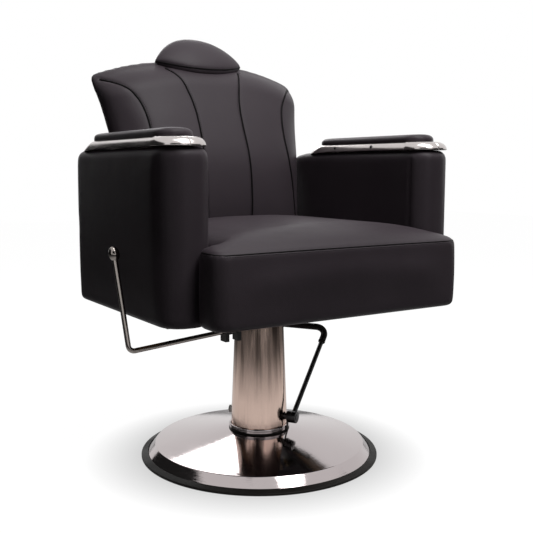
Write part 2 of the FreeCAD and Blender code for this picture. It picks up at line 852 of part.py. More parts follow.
def stadium(x, half, front, rear, radius):
    """A long outline with rounded corners around a line at x."""
    return [
        (f"{x} - {half}", front, radius),
        (f"{x} + {half}", front, radius),
        (f"{x} + {half}", rear, radius),
        (f"{x} - {half}", rear, radius),
    ]


def band(name, middle, grow):
    """The sloping band of the arm's trim, grown outward all around."""
    body = new_body(name)
    foot = sketch_on(body, name + "_foot", "XY_Plane", "arm_top")
    trace(foot, stadium(middle, f"(trim_half + {grow})", f"trim_front - {grow}", f"trim_rear + {grow}",
                        f"trim_round + {grow}"))
    top = sketch_on(body, name + "_top", "XY_Plane", "arm_top + trim_height")
    trace(top, stadium(middle, f"(trim_top_half + {grow})", f"trim_top_front - {grow}",
                       f"trim_top_rear + {grow}", f"trim_top_round + {grow}"))
    doc.recompute()
    slope = body.newObject("PartDesign::AdditiveLoft", name + "_slope")
    slope.Profile = foot
    slope.Sections = [top]
    slope.Ruled = True
    doc.recompute()
    return body


def make_arm(side, sign):
    middle = f"{sign} * (arm_outer + arm_inner) / 2"
    plan = plate(f"arm_plan_{side}", "XY_Plane", [
        (f"{sign} * arm_inner", "arm_front", "arm_front_inner_round"),
        (f"{sign} * arm_outer", "arm_front", "arm_front_outer_round"),
        (f"{sign} * arm_outer", "arm_rear", "arm_rear_outer_round"),
        (f"{sign} * arm_inner", "arm_rear", "arm_rear_inner_round"),
    ], ARM_FOOT, f"arm_top - {ARM_FOOT}")
    profile = plate(f"arm_profile_{side}", "YZ_Plane", [
        ("arm_front", ARM_FOOT),
        ("arm_rear", ARM_FOOT, "arm_foot_round"),
        ("arm_rear", "arm_top - arm_fall", "arm_fall"),
        ("arm_rear - arm_slope", "arm_top", "arm_slope"),
        ("arm_front", "arm_top"),
    ], "arm_inner" if sign == "1" else "-arm_outer", "arm_outer - arm_inner")
    core_sizes = (f"{middle} - core_thick / 2", "arm_front + core_margin", ARM_FOOT, "core_thick",
                  "arm_rear - arm_front - 2 * core_margin", f"arm_top - {ARM_FOOT} - core_margin / 2")
    keep(box(f"arm_core_{side}", *core_sizes), f"arm_core_{side}")
    hollow = box(f"arm_hollow_{side}", *core_sizes)
    keep(cut(f"arm_{side}", shared(f"arm_block_{side}", [plan, profile]), hollow), f"arm_{side}")

    inner_half = "(trim_top_half - trim_wall)"
    inner_front = "trim_top_front + trim_wall"
    inner_rear = "trim_top_rear - trim_wall"
    inner_round = "trim_top_round - trim_wall"
    inside = plate(f"trim_inside_{side}", "XY_Plane", stadium(
        middle, inner_half, inner_front, inner_rear, inner_round), "arm_top", "trim_height")
    keep(cut(f"arm_trim_{side}", band(f"trim_band_{side}", middle, "0"), inside), f"arm_trim_{side}")

    behind_cap = box(f"behind_cap_{side}", f"{middle} - 2 * trim_half", "cap_rear", "arm_top",
                     "4 * trim_half", "2 * trim_rear - cap_rear", "trim_height")
    keep(cut(f"arm_cap_{side}", band(f"cap_outside_{side}", middle, "cap_wall"),
             band(f"cap_inside_{side}", middle, "slack"), behind_cap), f"arm_cap_{side}")

    plug = plate(f"pad_plug_{side}", "XY_Plane", stadium(
        middle, f"({inner_half} - slack)", f"{inner_front} + slack", f"{inner_rear} - slack", inner_round),
        "arm_top", "trim_height")
    top = plate(f"pad_top_{side}", "XY_Plane", stadium(
        middle, "pad_half", "pad_front", "pad_rear", "pad_half - 1"), "arm_top + trim_height", "pad_thick")
    rounded(top, "pad_round", lambda edge: lies_at(edge, "Z", number("arm_top + trim_height + pad_thick")))
    keep(fuse(f"arm_pad_{side}", [plug, top]), f"arm_pad_{side}")


SIDES = (("right", "-1"), ("left", "1"))
for side_name, side_sign in SIDES:
    make_arm(side_name, side_sign)


# Arm plates and hinge plates: steel between the rails and the arms, the rear pair carries the back
def mirrored(name, make):
    """The same piece made at both sides of the chair, kept together."""
    return keep(group(name, [make(side, sign) for side, sign in SIDES]), name)


def side_start(sign, inner, thick):
    """Where a sheet standing between inner and inner + thick starts along X."""
    return inner if sign == "1" else f"-({inner}) - ({thick})"


def arm_plate(side, sign):
    return box(f"arm_plate_{side}", side_start(sign, RAIL_OUT, "side_plate_thick"),
               "arm_front + arm_plate_inset", FRAME_FOOT, "side_plate_thick", "arm_plate_long", "rail_height")


mirrored("arm_plates", arm_plate)


def hinge_plate(side, sign):
    blank = plate(f"hinge_blank_{side}", "YZ_Plane", [
        ("hinge_front", FRAME_FOOT),
        ("pivot_y - pin_eye", FRAME_FOOT),
        ("pivot_y + pin_eye", "pivot_z - pin_eye", "hinge_round"),
        ("pivot_y + pin_eye", "pivot_z + pin_eye", "hinge_round"),
        ("pivot_y - pin_eye", "pivot_z + pin_eye", "hinge_round"),
        ("rail_rear", f"{FRAME_FOOT} + rail_height", "hinge_round"),
        ("hinge_front", f"{FRAME_FOOT} + rail_height"),
    ], side_start(sign, RAIL_OUT, "side_plate_thick"), "side_plate_thick")
    hole = rod(f"hinge_hole_{side}", "pin_radius + running", "side_plate_thick",
               along_x(side_start(sign, RAIL_OUT, "side_plate_thick"), "pivot_y", "pivot_z"))
    return cut(f"hinge_plate_{side}", blank, hole)


mirrored("hinge_plates", hinge_plate)


# Hinge pins and the spacers on them that keep the back between the hinge plates
def hinge_pin(side, sign):
    length = "arm_inner - side_plate_in"
    return rod(f"hinge_pin_{side}", "pin_radius", length,
               along_x(side_start(sign, "side_plate_in", length), "pivot_y", "pivot_z"))


mirrored("hinge_pins", hinge_pin)


def hinge_spacer(side, sign):
    inner = "foot_half + spacer_gap"
    thick = f"{RAIL_OUT} - ({inner})"
    start = side_start(sign, inner, thick)
    drum = rod(f"spacer_drum_{side}", "pin_eye", thick, along_x(start, "pivot_y", "pivot_z"))
    hole = rod(f"spacer_hole_{side}", "pin_radius + running", thick, along_x(start, "pivot_y", "pivot_z"))
    return cut(f"hinge_spacer_{side}", drum, hole)


mirrored("hinge_spacers", hinge_spacer)

# Back board: a leaning plywood fan inside the cushion
FOOT_HEIGHT = "(pivot_z - foot_drop)"
LEAN_FRAME = spot("0", "back_board_y", FOOT_HEIGHT, roll="-back_lean")


def fan_board(name, foot):
    return plate(name, "XZ_Plane", [
        ("-side_plate_in", foot),
        ("side_plate_in", foot),
        ("side_plate_in", "0.4 * back_board_long"),
        ("back_board_half", "0.9 * back_board_long", "board_shoulder_round"),
        ("0.75 * back_board_half", "back_board_long", "board_top_round"),
        ("-0.75 * back_board_half", "back_board_long", "board_top_round"),
        ("-back_board_half", "0.9 * back_board_long", "board_shoulder_round"),
        ("-side_plate_in", "0.4 * back_board_long"),
    ], "-board_thick / 2", "board_thick", LEAN_FRAME)


keep(fan_board("back_board", "0"), "back_board")


# Back side plates: steel on the board's edges, each with the bore of one hinge pin
SIDE_PLATE_HEAD = "back_board_y + side_plate_rise * tan(back_lean)"


def back_side_plate(side, sign):
    start = side_start(sign, "side_plate_in", "side_plate_thick")
    blank = plate(f"back_side_blank_{side}", "YZ_Plane", [
        ("back_board_y + side_plate_gap", f"{FOOT_HEIGHT} + side_plate_gap"),
        ("pivot_y + pin_eye", f"{FOOT_HEIGHT} + side_plate_gap", "pin_eye / 2"),
        ("pivot_y + pin_eye", "pivot_z + pin_eye", "pin_eye"),
        (f"{SIDE_PLATE_HEAD} + pin_eye", f"{FOOT_HEIGHT} + side_plate_rise", "pin_eye / 4"),
        (SIDE_PLATE_HEAD, f"{FOOT_HEIGHT} + side_plate_rise"),
    ], start, "side_plate_thick")
    hole = rod(f"back_side_hole_{side}", "pin_radius + running", "side_plate_thick",
               along_x(start, "pivot_y", "pivot_z"))
    return cut(f"back_side_plate_{side}", blank, hole)


mirrored("back_side_plates", back_side_plate)

# Hinge tube: joins the two side plates and carries the crank
tube_start = along_x("-side_plate_in", "pivot_y", "pivot_z")
tube_solid = rod("tube_solid", "hinge_tube", "2 * side_plate_in", tube_start)
tube_hollow = rod("tube_hollow", "pin_radius + running", "2 * side_plate_in", tube_start)
keep(cut("back_hinge_tube", tube_solid, tube_hollow), "back_hinge_tube")

# Crank and its pin: turn with the back and push the lock cylinder's rod
CRANK_FRAME = spot("lock_x", "pivot_y", "pivot_z", roll="crank_start")
crank_blank = plate("crank_blank", "YZ_Plane", [
    ("-crank_shoulder", "crank_rise", "crank_round"),
    ("-crank_tip", "-crank_reach - crank_tip", "2 * clevis_pin"),
    ("crank_tip", "-crank_reach - crank_tip", "2 * clevis_pin"),
    ("crank_shoulder", "crank_rise", "crank_round"),
], "-crank_thick / 2", "crank_thick", CRANK_FRAME)
crank_eye = rod("crank_eye", "hinge_tube + running", "crank_thick",
                f"{CRANK_FRAME} * {along_x('-crank_thick / 2', '0', '0')}")
crank_hole = rod("crank_hole", "clevis_pin + running", "crank_thick",
                 f"{CRANK_FRAME} * {along_x('-crank_thick / 2', '0', '-crank_reach')}")
keep(cut("back_crank", crank_blank, crank_eye, crank_hole), "back_crank")
keep(rod("crank_pin", "clevis_pin", "2 * clevis_half + 2 * clevis_pin_over",
         f"{CRANK_FRAME} * {along_x('-clevis_half - clevis_pin_over', '0', '-crank_reach')}"), "crank_pin")

# Headrest socket: a flat steel sleeve on the front of the board
POST_MIDDLE = "(-board_thick / 2 - socket_depth / 2)"
socket_solid = box("socket_solid", "-socket_width / 2", "-board_thick / 2 - socket_depth", "socket_foot",
                   "socket_width", "socket_depth", "socket_top - socket_foot", LEAN_FRAME)
socket_slot = box("socket_slot", "-post_width / 2 - running", f"{POST_MIDDLE} - post_thick / 2 - running",
                  "socket_foot", "post_width + 2 * running", "post_thick + 2 * running",
                  "socket_top - socket_foot", LEAN_FRAME)
keep(cut("headrest_socket", socket_solid, socket_slot), "headrest_socket")


# Back cushion: five sections lofted from the foot to the corners and three more over the rolled top
def back_section(body, level):
    """A section of the back: flat in front, slanted at both sides and with small corners behind."""
    thick = f"({level}_rear - {level}_front)"
    side = f"({level}_front + {level}_bevel * {thick})"
    flat = f"({level}_half - 1.45 * {level}_bevel * {thick})"
    height = FOOT_HEIGHT if level == "foot" else f"{level}_height"
    sketch = sketch_on(body, f"{body.Name}_{level}", "XY_Plane", height)
    trace(sketch, [
        (f"-{flat}", f"{level}_front", f"0.9 * {thick}"),
        (flat, f"{level}_front", f"0.9 * {thick}"),
        (f"{level}_half", side, f"0.35 * {thick}"),
        (f"{level}_half", f"{level}_rear", f"0.1 * {thick}"),
        (f"-{level}_half", f"{level}_rear", f"0.1 * {thick}"),
        (f"-{level}_half", side, f"0.35 * {thick}"),
    ])
    return sketch


def back_loft(name, levels, straight):
    body = new_body(name)
    sections = [back_section(body, level) for level in levels]
    doc.recompute()
    loft = body.newObject("PartDesign::AdditiveLoft", name + "_loft")
    loft.Profile = sections[0]
    loft.Sections = sections[1:]
    loft.Ruled = straight
    doc.recompute()
    return body


back_main = back_loft("back_main", ["foot", "waist", "chest", "shoulder", "corner"], False)
back_roll = back_loft("back_roll", ["corner", "brow", "crest", "peak"], True)
back_whole = fuse("back_whole", [back_main, back_roll])
# The rooms inside the back cushion for its frame, its hinge, its crank and the headrest's post
ROOM_FOOT = f"{FOOT_HEIGHT} - 2 * ease"
hinge_room = box("hinge_room", "-side_plate_in - side_plate_thick", "back_board_y + side_plate_gap",
                 ROOM_FOOT, "2 * side_plate_in + 2 * side_plate_thick", "pivot_y + pin_eye - back_board_y",
                 f"pivot_z + pin_eye + 3 * ease - ({ROOM_FOOT})")
crank_room = box("crank_room", "lock_x - crank_thick / 2 - ease / 2", "pivot_y - crank_shoulder - ease",
                 ROOM_FOOT, "crank_thick + ease", "3 * crank_shoulder",
                 f"pivot_z + crank_rise + ease - ({ROOM_FOOT})")
pin_room = rod("pin_room", "pin_radius + ease", "2 * arm_inner", along_x("-arm_inner", "pivot_y", "pivot_z"))
socket_room = box("socket_room", "-socket_width / 2", "-board_thick / 2 - socket_depth", "socket_foot",
                  "socket_width", "socket_depth", "socket_top - socket_foot", LEAN_FRAME)
post_room = box("post_room", "-post_width / 2 - ease / 2", f"{POST_MIDDLE} - post_thick / 2 - ease / 2",
                "post_foot - 6 * ease", "post_width + ease", "post_thick + ease", "back_board_long",
                LEAN_FRAME)
side_rooms = [box(f"side_room_{side}", side_start(sign, "side_plate_in", "side_plate_thick"),
                  "back_board_y + side_plate_gap", f"{FOOT_HEIGHT} + side_plate_gap", "side_plate_thick",
                  "pivot_y + pin_eye - back_board_y", "side_plate_rise - side_plate_gap")
              for side, sign in SIDES]
keep(cut("back_cushion", back_whole, fan_board("board_room", "-5 * ease"), hinge_room, crank_room, pin_room,
         socket_room, post_room, *side_rooms), "back_cushion")

# Headrest: a lens-shaped pad on a small board, a steel plate and a flat post that slides in the socket
HEAD_FRAME = spot("0", "head_y", "head_z", roll="-head_lean")
head_block = plate("head_block", "XZ_Plane", [
    ("-head_half", "head_tip", "head_tip_round"),
    ("0", "-head_low", "head_low_curve"),
    ("head_half", "head_tip", "head_tip_round"),
    ("0", "head_high", "head_high_curve"),
], "head_gap", "head_thick", HEAD_FRAME)
HEAD_FACE = "head_gap + head_thick"
bow_start = spot("0", f"head_bow_radius - ({HEAD_FACE})", "-2 * head_half")
head_bow = rod("head_bow", "head_bow_radius", "4 * head_half", f"{HEAD_FRAME} * {bow_start}")
crown_start = along_x("-2 * head_half", f"head_crown_radius - ({HEAD_FACE})", "head_middle")
head_crown = rod("head_crown", "head_crown_radius", "4 * head_half", f"{HEAD_FRAME} * {crown_start}")
head_lens = shared("head_lens", [head_block, head_bow, head_crown])


def head_board(name, start, thick):
    return plate(name, "XZ_Plane", [
        ("-0.6 * head_half", "-0.3 * head_low", "head_board_round"),
        ("0.6 * head_half", "-0.3 * head_low", "head_board_round"),
        ("0.6 * head_half", "0.4 * head_high", "head_board_round"),
        ("-0.6 * head_half", "0.4 * head_high", "head_board_round"),
    ], start, thick, HEAD_FRAME)


head_room = head_board("head_room", "head_gap", "head_plate_thick + head_board_thick")
keep(cut("headrest_cushion", head_lens, head_room), "headrest_cushion")
keep(head_board("headrest_board", "head_gap + head_plate_thick", "head_board_thick"), "headrest_board")
keep(box("headrest_plate", "-head_plate_half", "-head_gap - head_plate_thick", "head_plate_foot",
         "2 * head_plate_half", "head_plate_thick", "head_plate_high", HEAD_FRAME), "headrest_plate")
post_bar = box("post_bar", "-post_width / 2", f"{POST_MIDDLE} - post_thick / 2", "post_foot", "post_width",
               "post_thick", "back_board_long", LEAN_FRAME)
head_front = box("head_front", "-head_half", "-head_gap - back_board_long", "-back_board_long",
                 "2 * head_half", "back_board_long", "2 * back_board_long", HEAD_FRAME)
keep(cut("headrest_post", post_bar, head_front), "headrest_post")

# Lock cylinder: a barrel hung from the cross bars, a rod with a piston and a fork on the crank pin
LOCK_FRAME = along_y("lock_x", "0", "lock_z")
PIN_Y = "(pivot_y + crank_reach * sin(crank_start))"
FORK_FRONT = f"({PIN_Y} - fork_front)"
keep(turned("recline_barrel", [
    ("button_radius + running", "barrel_front"),
    ("barrel_radius", "barrel_front", "barrel_round"),
    ("barrel_radius", "barrel_rear", "barrel_round"),
    ("rod_radius + running", "barrel_rear"),
    ("rod_radius + running", "barrel_rear - barrel_head"),
    ("barrel_bore", "barrel_rear - barrel_head"),
    ("barrel_bore", "barrel_front + barrel_nose"),
    ("button_radius + running", "barrel_front + barrel_nose"),
], LOCK_FRAME), "recline_barrel")
keep(turned("recline_rod", [
    ("0", "rod_front"),
    ("barrel_bore - running", "rod_front"),
    ("barrel_bore - running", "rod_front + piston_long"),
    ("rod_radius", "rod_front + piston_long"),
    ("rod_radius", FORK_FRONT),
    ("0", FORK_FRONT),
], LOCK_FRAME), "recline_rod")
fork_block = box("fork_block", "lock_x - clevis_half", FORK_FRONT, "lock_z - fork_high", "2 * clevis_half",
                 "fork_long", "2 * fork_high")
fork_gap = box("fork_gap", "lock_x - crank_thick / 2 - fork_side_play", f"{FORK_FRONT} + fork_web",
               "lock_z - fork_high", "crank_thick + 2 * fork_side_play", "fork_long", "2 * fork_high")
fork_slot = box("fork_slot", "lock_x - clevis_half", f"{PIN_Y} - clevis_pin - fork_play",
                "lock_z - 2 * clevis_pin", "2 * clevis_half", "2 * clevis_pin + 2 * fork_play",
                "4 * clevis_pin")
keep(cut("recline_fork", fork_block, fork_gap, fork_slot), "recline_fork")


def hanger(name, y):
    foot = "lock_z - barrel_radius - hanger_wall"
    strap = box(name + "_strap", "lock_x - barrel_radius - hanger_wall", y, foot,
                "2 * barrel_radius + 2 * hanger_wall", "hanger_thick", f"{FRAME_FOOT} - ({foot})")
    hole = rod(name + "_hole", "barrel_radius + running", "hanger_thick", along_y("lock_x", y, "lock_z"))
    return cut(name, strap, hole)


hangers = [hanger("hanger_one", "hanger_front"), hanger("hanger_two", "hanger_rear")]
keep(group("recline_hangers", hangers), "recline_hangers")

# Recline lever: a bent chrome rod with a knob, two bearings under the seat and a cam that presses a button
LEVER_FRAME = spot("lever_x", "lever_y", "lever_z", pitch="-lever_tilt", roll="-lever_lean")
LEVER_AXIS = spot("lever_x", "lever_y", "lever_z", pitch="-lever_tilt")
LEVER_INSIDE = "((lock_x + bearing_reach + bearing_thick / 2 + lever_end - lever_x) / cos(lever_tilt))"
CAM_Z = "(lever_z + (lock_x - lever_x) * tan(lever_tilt))"
CAM_REACH = f"((lock_z - {CAM_Z}) / cos(cam_swing))"
keep(bent("lever_bar", [
    (LEVER_INSIDE, "0"),
    ("0", "0", "lever_bend"),
    ("0", "lever_leg"),
], "lever_rod", LEVER_FRAME), "lever_bar")
knob_ball = doc.addObject("Part::Ellipsoid", "knob_ball")
bind(knob_ball, "Radius1", "knob_half")
bind(knob_ball, "Radius2", "knob_radius")
bind(knob_ball, "Radius3", "knob_radius")
bind(knob_ball, "Placement", f"{LEVER_FRAME} * {spot('0', '0', 'lever_leg + knob_half - knob_depth')}")
knob_bore = rod("knob_bore", "lever_rod + running", "knob_half",
                f"{LEVER_FRAME} * {spot('0', '0', 'lever_leg - knob_half')}")
keep(cut("lever_knob", knob_ball, knob_bore), "lever_knob")


def lever_bearing(name, x):
    foot = "lever_z - bearing_under"
    strap = box(name + "_strap", f"{x} - bearing_thick / 2", "lever_y - bearing_half", foot, "bearing_thick",
                "2 * bearing_half", f"{FRAME_FOOT} - ({foot})")
    hole = rod(name + "_hole", "lever_rod + running", LEVER_INSIDE,
               f"{LEVER_AXIS} * {along_x('0', '0', '0')}")
    return cut(name, strap, hole)


bearings = [lever_bearing(f"bearing_{name}", f"lock_x {sign} bearing_reach")
            for name, sign in (("inner", "+"), ("outer", "-"))]
keep(group("lever_bearings", bearings), "lever_bearings")
CAM_FRAME = spot("lock_x", "lever_y", CAM_Z, pitch="-lever_tilt", roll="cam_swing")


def across_cam(wide, z):
    """A placement on the cam whose Z runs along the lever, centred over a width."""
    return f"{CAM_FRAME} * {along_x(f'-{wide} / 2', '0', z)}"


cam_drum = rod("cam_drum", "cam_hub", "cam_hub_wide", across_cam("cam_hub_wide", "0"))
cam_arm = box("cam_arm", "-cam_wide / 2", "-cam_wide / 2", "0", "cam_wide", "cam_wide", CAM_REACH, CAM_FRAME)
cam_tip = rod("cam_tip", "cam_nose", "cam_wide", across_cam("cam_wide", CAM_REACH))
cam_bore = rod("cam_bore", "lever_rod + running", "2 * cam_hub_wide", across_cam("2 * cam_hub_wide", "0"))
keep(cut("release_cam", fuse("cam_fused", [cam_drum, cam_arm, cam_tip]), cam_bore), "release_cam")
BUTTON_FRONT = f"(lever_y - {CAM_REACH} * sin(cam_swing) + cam_nose + slack)"
keep(rod("release_button", "button_radius", f"barrel_front + button_hold - {BUTTON_FRONT}",
         along_y("lock_x", BUTTON_FRONT, "lock_z")), "release_button")

# Every object has to be sound before the pieces are written
doc.recompute()
for item in doc.Objects:
    if "Invalid" in item.State or "Error" in item.State:
        raise RuntimeError(f"{item.Name} did not recompute: {item.State}")
os.makedirs("parts", exist_ok=True)
for item in PIECES:
    if item.Shape.isNull() or not item.Shape.isValid() or item.Shape.Volume <= 0:
        raise RuntimeError(f"{item.Label} has no sound shape")
    item.Shape.exportStep(f"parts/{item.Label}.step")
print(len(PIECES), "pieces written")
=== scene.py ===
import math

import bmesh
import bpy
import numpy as np
from mathutils.bvhtree import BVHTree
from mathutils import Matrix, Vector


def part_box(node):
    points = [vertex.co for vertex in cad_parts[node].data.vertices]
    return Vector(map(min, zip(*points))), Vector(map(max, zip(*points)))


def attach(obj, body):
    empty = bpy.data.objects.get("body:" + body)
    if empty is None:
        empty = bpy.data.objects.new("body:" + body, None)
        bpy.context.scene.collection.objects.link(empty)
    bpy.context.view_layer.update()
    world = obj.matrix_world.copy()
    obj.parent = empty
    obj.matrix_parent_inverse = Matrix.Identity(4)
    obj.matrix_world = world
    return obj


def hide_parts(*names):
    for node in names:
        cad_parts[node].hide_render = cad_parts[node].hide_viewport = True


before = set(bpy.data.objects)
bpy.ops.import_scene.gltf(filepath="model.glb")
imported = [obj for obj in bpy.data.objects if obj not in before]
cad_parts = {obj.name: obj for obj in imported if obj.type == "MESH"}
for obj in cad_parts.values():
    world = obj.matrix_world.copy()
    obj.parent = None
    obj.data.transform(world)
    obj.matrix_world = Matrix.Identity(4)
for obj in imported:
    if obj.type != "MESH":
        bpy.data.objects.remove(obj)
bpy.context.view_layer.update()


# Rubber rim: the moulded black ring round the base, with a top that falls to a rounded edge.
# It is pressed over the edge of the steel floor plate and hides it.
TINY = 1e-9
scene = bpy.context.scene


def unit(vectors):
    """Vectors brought to a length of one."""
    return vectors / np.maximum(np.linalg.norm(vectors, axis=-1, keepdims=True), TINY)


def round_corners(corners, steps=8, closed=True):
    """Line through corners (place..., radius).
    An arc of that radius, touching both edges, takes the place of each corner."""
    places = [np.array(corner[:-1], float) for corner in corners]
    line = []
    for i, corner in enumerate(corners):
        radius = corner[-1]
        at_end = not closed and i in (0, len(corners) - 1)
        if radius == 0 or at_end:
            line.append(places[i][None])
            continue
        back = unit(places[i - 1] - places[i])
        ahead = unit(places[(i + 1) % len(places)] - places[i])
        half = np.arccos(np.clip(back @ ahead, -1, 1)) / 2
        inwards = unit(back + ahead)
        sideways = unit(ahead - back)
        spread = np.linspace(-1, 1, steps + 1)[:, None] * (np.pi / 2 - half)
        centre = places[i] + inwards * radius / np.sin(half)
        line.append(centre + radius * (np.sin(spread) * sideways - np.cos(spread) * inwards))
    line = np.concatenate(line)
    return np.concatenate([line, line[:1]]) if closed else line


def grid_mesh(*grids):
    """One closed mesh of grids of points[row, column].
    A four-sided face lies between neighbours, and touching edges are merged."""
    corners = []
    faces = []
    for points in grids:
        rows, columns = points.shape[:2]
        index = np.arange(rows * columns).reshape(rows, columns) + sum(map(len, corners))
        around = [index[:-1, :-1], index[1:, :-1], index[1:, 1:], index[:-1, 1:]]
        corners.append(points.reshape(-1, 3))
        faces.append(np.stack(around, -1).reshape(-1, 4))
    mesh = bpy.data.meshes.new("surface")
    mesh.from_pydata(np.concatenate(corners).tolist(), [], np.concatenate(faces).tolist())
    work = bmesh.new()
    work.from_mesh(mesh)
    bmesh.ops.remove_doubles(work, verts=work.verts, dist=1e-6)
    bmesh.ops.dissolve_degenerate(work, edges=work.edges, dist=1e-7)
    bmesh.ops.recalc_face_normals(work, faces=work.faces)
    work.to_mesh(mesh)
    work.free()
    return mesh


def lathe(profile, steps):
    """Points of a profile (radius, height) turned once round the upright axis."""
    turn = np.linspace(0, 2 * np.pi, steps + 1)
    radius = profile[:, 0, None]
    height = np.repeat(profile[:, 1, None], steps + 1, axis=1)
    return np.stack([radius * np.cos(turn), radius * np.sin(turn), height], -1)


def put_in(name, data):
    """A new object of the scene."""
    thing = bpy.data.objects.new(name, data)
    scene.collection.objects.link(thing)
    return thing


def add_piece(name, mesh, body, material, stands_for_node=True, crease=35):
    """Shows a mesh as a piece of the chair that moves with a body.
    It stands for the CAD node of its name, if there is one."""
    mesh.name = name
    mesh.shade_smooth()
    mesh.set_sharp_from_angle(angle=math.radians(crease))
    piece = put_in(f"{name}_look", mesh)
    mesh.materials.clear()
    mesh.materials.append(material)
    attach(piece, body)
    if stands_for_node:
        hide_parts(name)
    return piece


def finish_of(name, colour, roughness, metallic=0.0, extra=None):
    """A Principled material with constant values set on its sockets.
    It comes with its tree, its shader and the object coordinates."""
    made = bpy.data.materials.new(name)
    made.use_nodes = True
    tree = made.node_tree
    shader = tree.nodes["Principled BSDF"]
    shader.inputs["Base Color"].default_value = (*colour, 1)
    shader.inputs["Roughness"].default_value = roughness
    shader.inputs["Metallic"].default_value = metallic
    for socket, value in (extra or {}).items():
        shader.inputs[socket].default_value = value
    place = tree.nodes.new("ShaderNodeTexCoord").outputs["Object"]
    return made, tree, shader, place


def speckle(tree, place, scale, detail=3.0, stretch=(1, 1, 1)):
    """Value of a noise texture, drawn out along the axes by stretch."""
    mapping = tree.nodes.new("ShaderNodeMapping")
    mapping.inputs["Scale"].default_value = stretch
    tree.links.new(place, mapping.inputs["Vector"])
    noise = tree.nodes.new("ShaderNodeTexNoise")
    noise.inputs["Scale"].default_value = scale
    noise.inputs["Detail"].default_value = detail
    tree.links.new(mapping.outputs["Vector"], noise.inputs["Vector"])
    return noise.outputs["Fac"]


def spread_of(tree, value, low, high, start=0.3, end=0.7):
    """A value moved from the range start to end to the range low to high."""
    span = tree.nodes.new("ShaderNodeMapRange")
    for socket, number in (("From Min", start), ("From Max", end), ("To Min", low), ("To Max", high)):
        span.inputs[socket].default_value = number
    tree.links.new(value, span.inputs["Value"])
    return span.outputs["Result"]


def tint_between(tree, value, dark, light, shader):
    """Gives a shader a colour between dark and light, by a value."""
    mix = tree.nodes.new("ShaderNodeMix")
    mix.data_type = "RGBA"
    mix.inputs["A"].default_value = (*dark, 1)
    mix.inputs["B"].default_value = (*light, 1)
    tree.links.new(value, mix.inputs["Factor"])
    tree.links.new(mix.outputs["Result"], shader.inputs["Base Color"])


def raise_by(tree, value, depth, shader, strength=0.5):
    """A bump of that depth in metres, laid over the shader's earlier bump."""
    bump = tree.nodes.new("ShaderNodeBump")
    bump.inputs["Strength"].default_value = strength
    bump.inputs["Distance"].default_value = depth
    tree.links.new(value, bump.inputs["Height"])
    if shader.inputs["Normal"].is_linked:
        tree.links.new(shader.inputs["Normal"].links[0].from_socket, bump.inputs["Normal"])
    tree.links.new(bump.outputs["Normal"], shader.inputs["Normal"])


def rubber_finish():
    """Black rubber: a fine matt grain with paler dusty patches."""
    made, tree, shader, place = finish_of("rubber", (0.014, 0.012, 0.011), 0.5,
                                          extra={"Specular IOR Level": 0.15})
    dust = speckle(tree, place, 9)
    tint_between(tree, dust, (0.009, 0.008, 0.007), (0.022, 0.019, 0.017), shader)
    tree.links.new(spread_of(tree, dust, 0.4, 0.62), shader.inputs["Roughness"])
    raise_by(tree, speckle(tree, place, 900), 0.0004, shader)
    return made


def turned(name, material, corners, steps=144):
    """A piece of the base: an outline of corners (radius, height, rounding) turned round the upright axis."""
    return add_piece(name, grid_mesh(lathe(round_corners(corners), steps)), "base", material)


rubber = rubber_finish()
RIM_INNER = 0.2623
RIM_OUTER = 0.3000
RIM_FOOT = 0.0002
RIM_EDGE = 0.0056
RIM_LIP = 0.2834
RIM_TOP = 0.0114
RIM_LEDGE = 0.0090
turned("base_rim", rubber, [
    (RIM_INNER, RIM_FOOT, 0.001),
    (RIM_OUTER, RIM_FOOT, 0.001),
    (RIM_OUTER, RIM_EDGE, 0.0022),
    (RIM_LIP, RIM_TOP, 0.0012),
    (RIM_LIP, RIM_LEDGE, 0),
    (RIM_INNER, RIM_LEDGE, 0),
])


# Chrome dish: spun steel cover of the base, a shallow cone with a rolled edge above a steep skirt.
# Its chrome is polished, with fine lines round it from the brush. It stands in the rim's step.
def chrome_finish(name, rough, colour, brushed=0.0):
    """Bright chrome: mirror metal with soft cloudy wiping marks.
    Fine lines run round it where it is brushed."""
    made, tree, shader, place = finish_of(name, colour, rough[0], 1.0)
    clouds = speckle(tree, place, 7, 4)
    tree.links.new(spread_of(tree, clouds, *rough), shader.inputs["Roughness"])
    dull = tuple(0.9 * part for part in colour)
    tint_between(tree, clouds, dull, colour, shader)
    if brushed:
        raise_by(tree, speckle(tree, place, 900, 2, (0.02, 0.02, 1)), brushed, shader)
    raise_by(tree, speckle(tree, place, 14, 2), 0.0006, shader, 0.12)
    return made


dish_chrome = chrome_finish("dish_chrome", (0.05, 0.13), (0.48, 0.43, 0.43), brushed=0.0002)
DISH_FOOT = 0.0091
DISH_BORE = 0.0640
DISH_TOP = 0.0620
DISH_UNDER = 0.0598
turned("base_dish", dish_chrome, [
    (0.2805, DISH_FOOT, 0),
    (0.2830, DISH_FOOT, 0),
    (0.2645, 0.0315, 0.0035),
    (0.0785, DISH_TOP, 0.032),
    (DISH_BORE, DISH_TOP, 0),
    (DISH_BORE, DISH_UNDER, 0),
    (0.0780, DISH_UNDER, 0.030),
    (0.2632, 0.0291, 0.002),
], 192)


# Column foot: a black gasket ring on the dish and a chrome band clamped over the end of the column.
# A small black strip, the stop of the pedal, stands beside the band.
def at_height(outline, height):
    """A flat outline lifted to a height."""
    return np.concatenate([outline, np.full((*outline.shape[:-1], 1), height)], -1)


def prism(outline, low, high):
    """A flat outline drawn up from one height to another and closed at both ends."""
    middle = np.broadcast_to(outline[:-1].mean(axis=0), outline.shape)
    return np.stack([at_height(middle, low), at_height(outline, low), at_height(outline, high),
                     at_height(middle, high)])


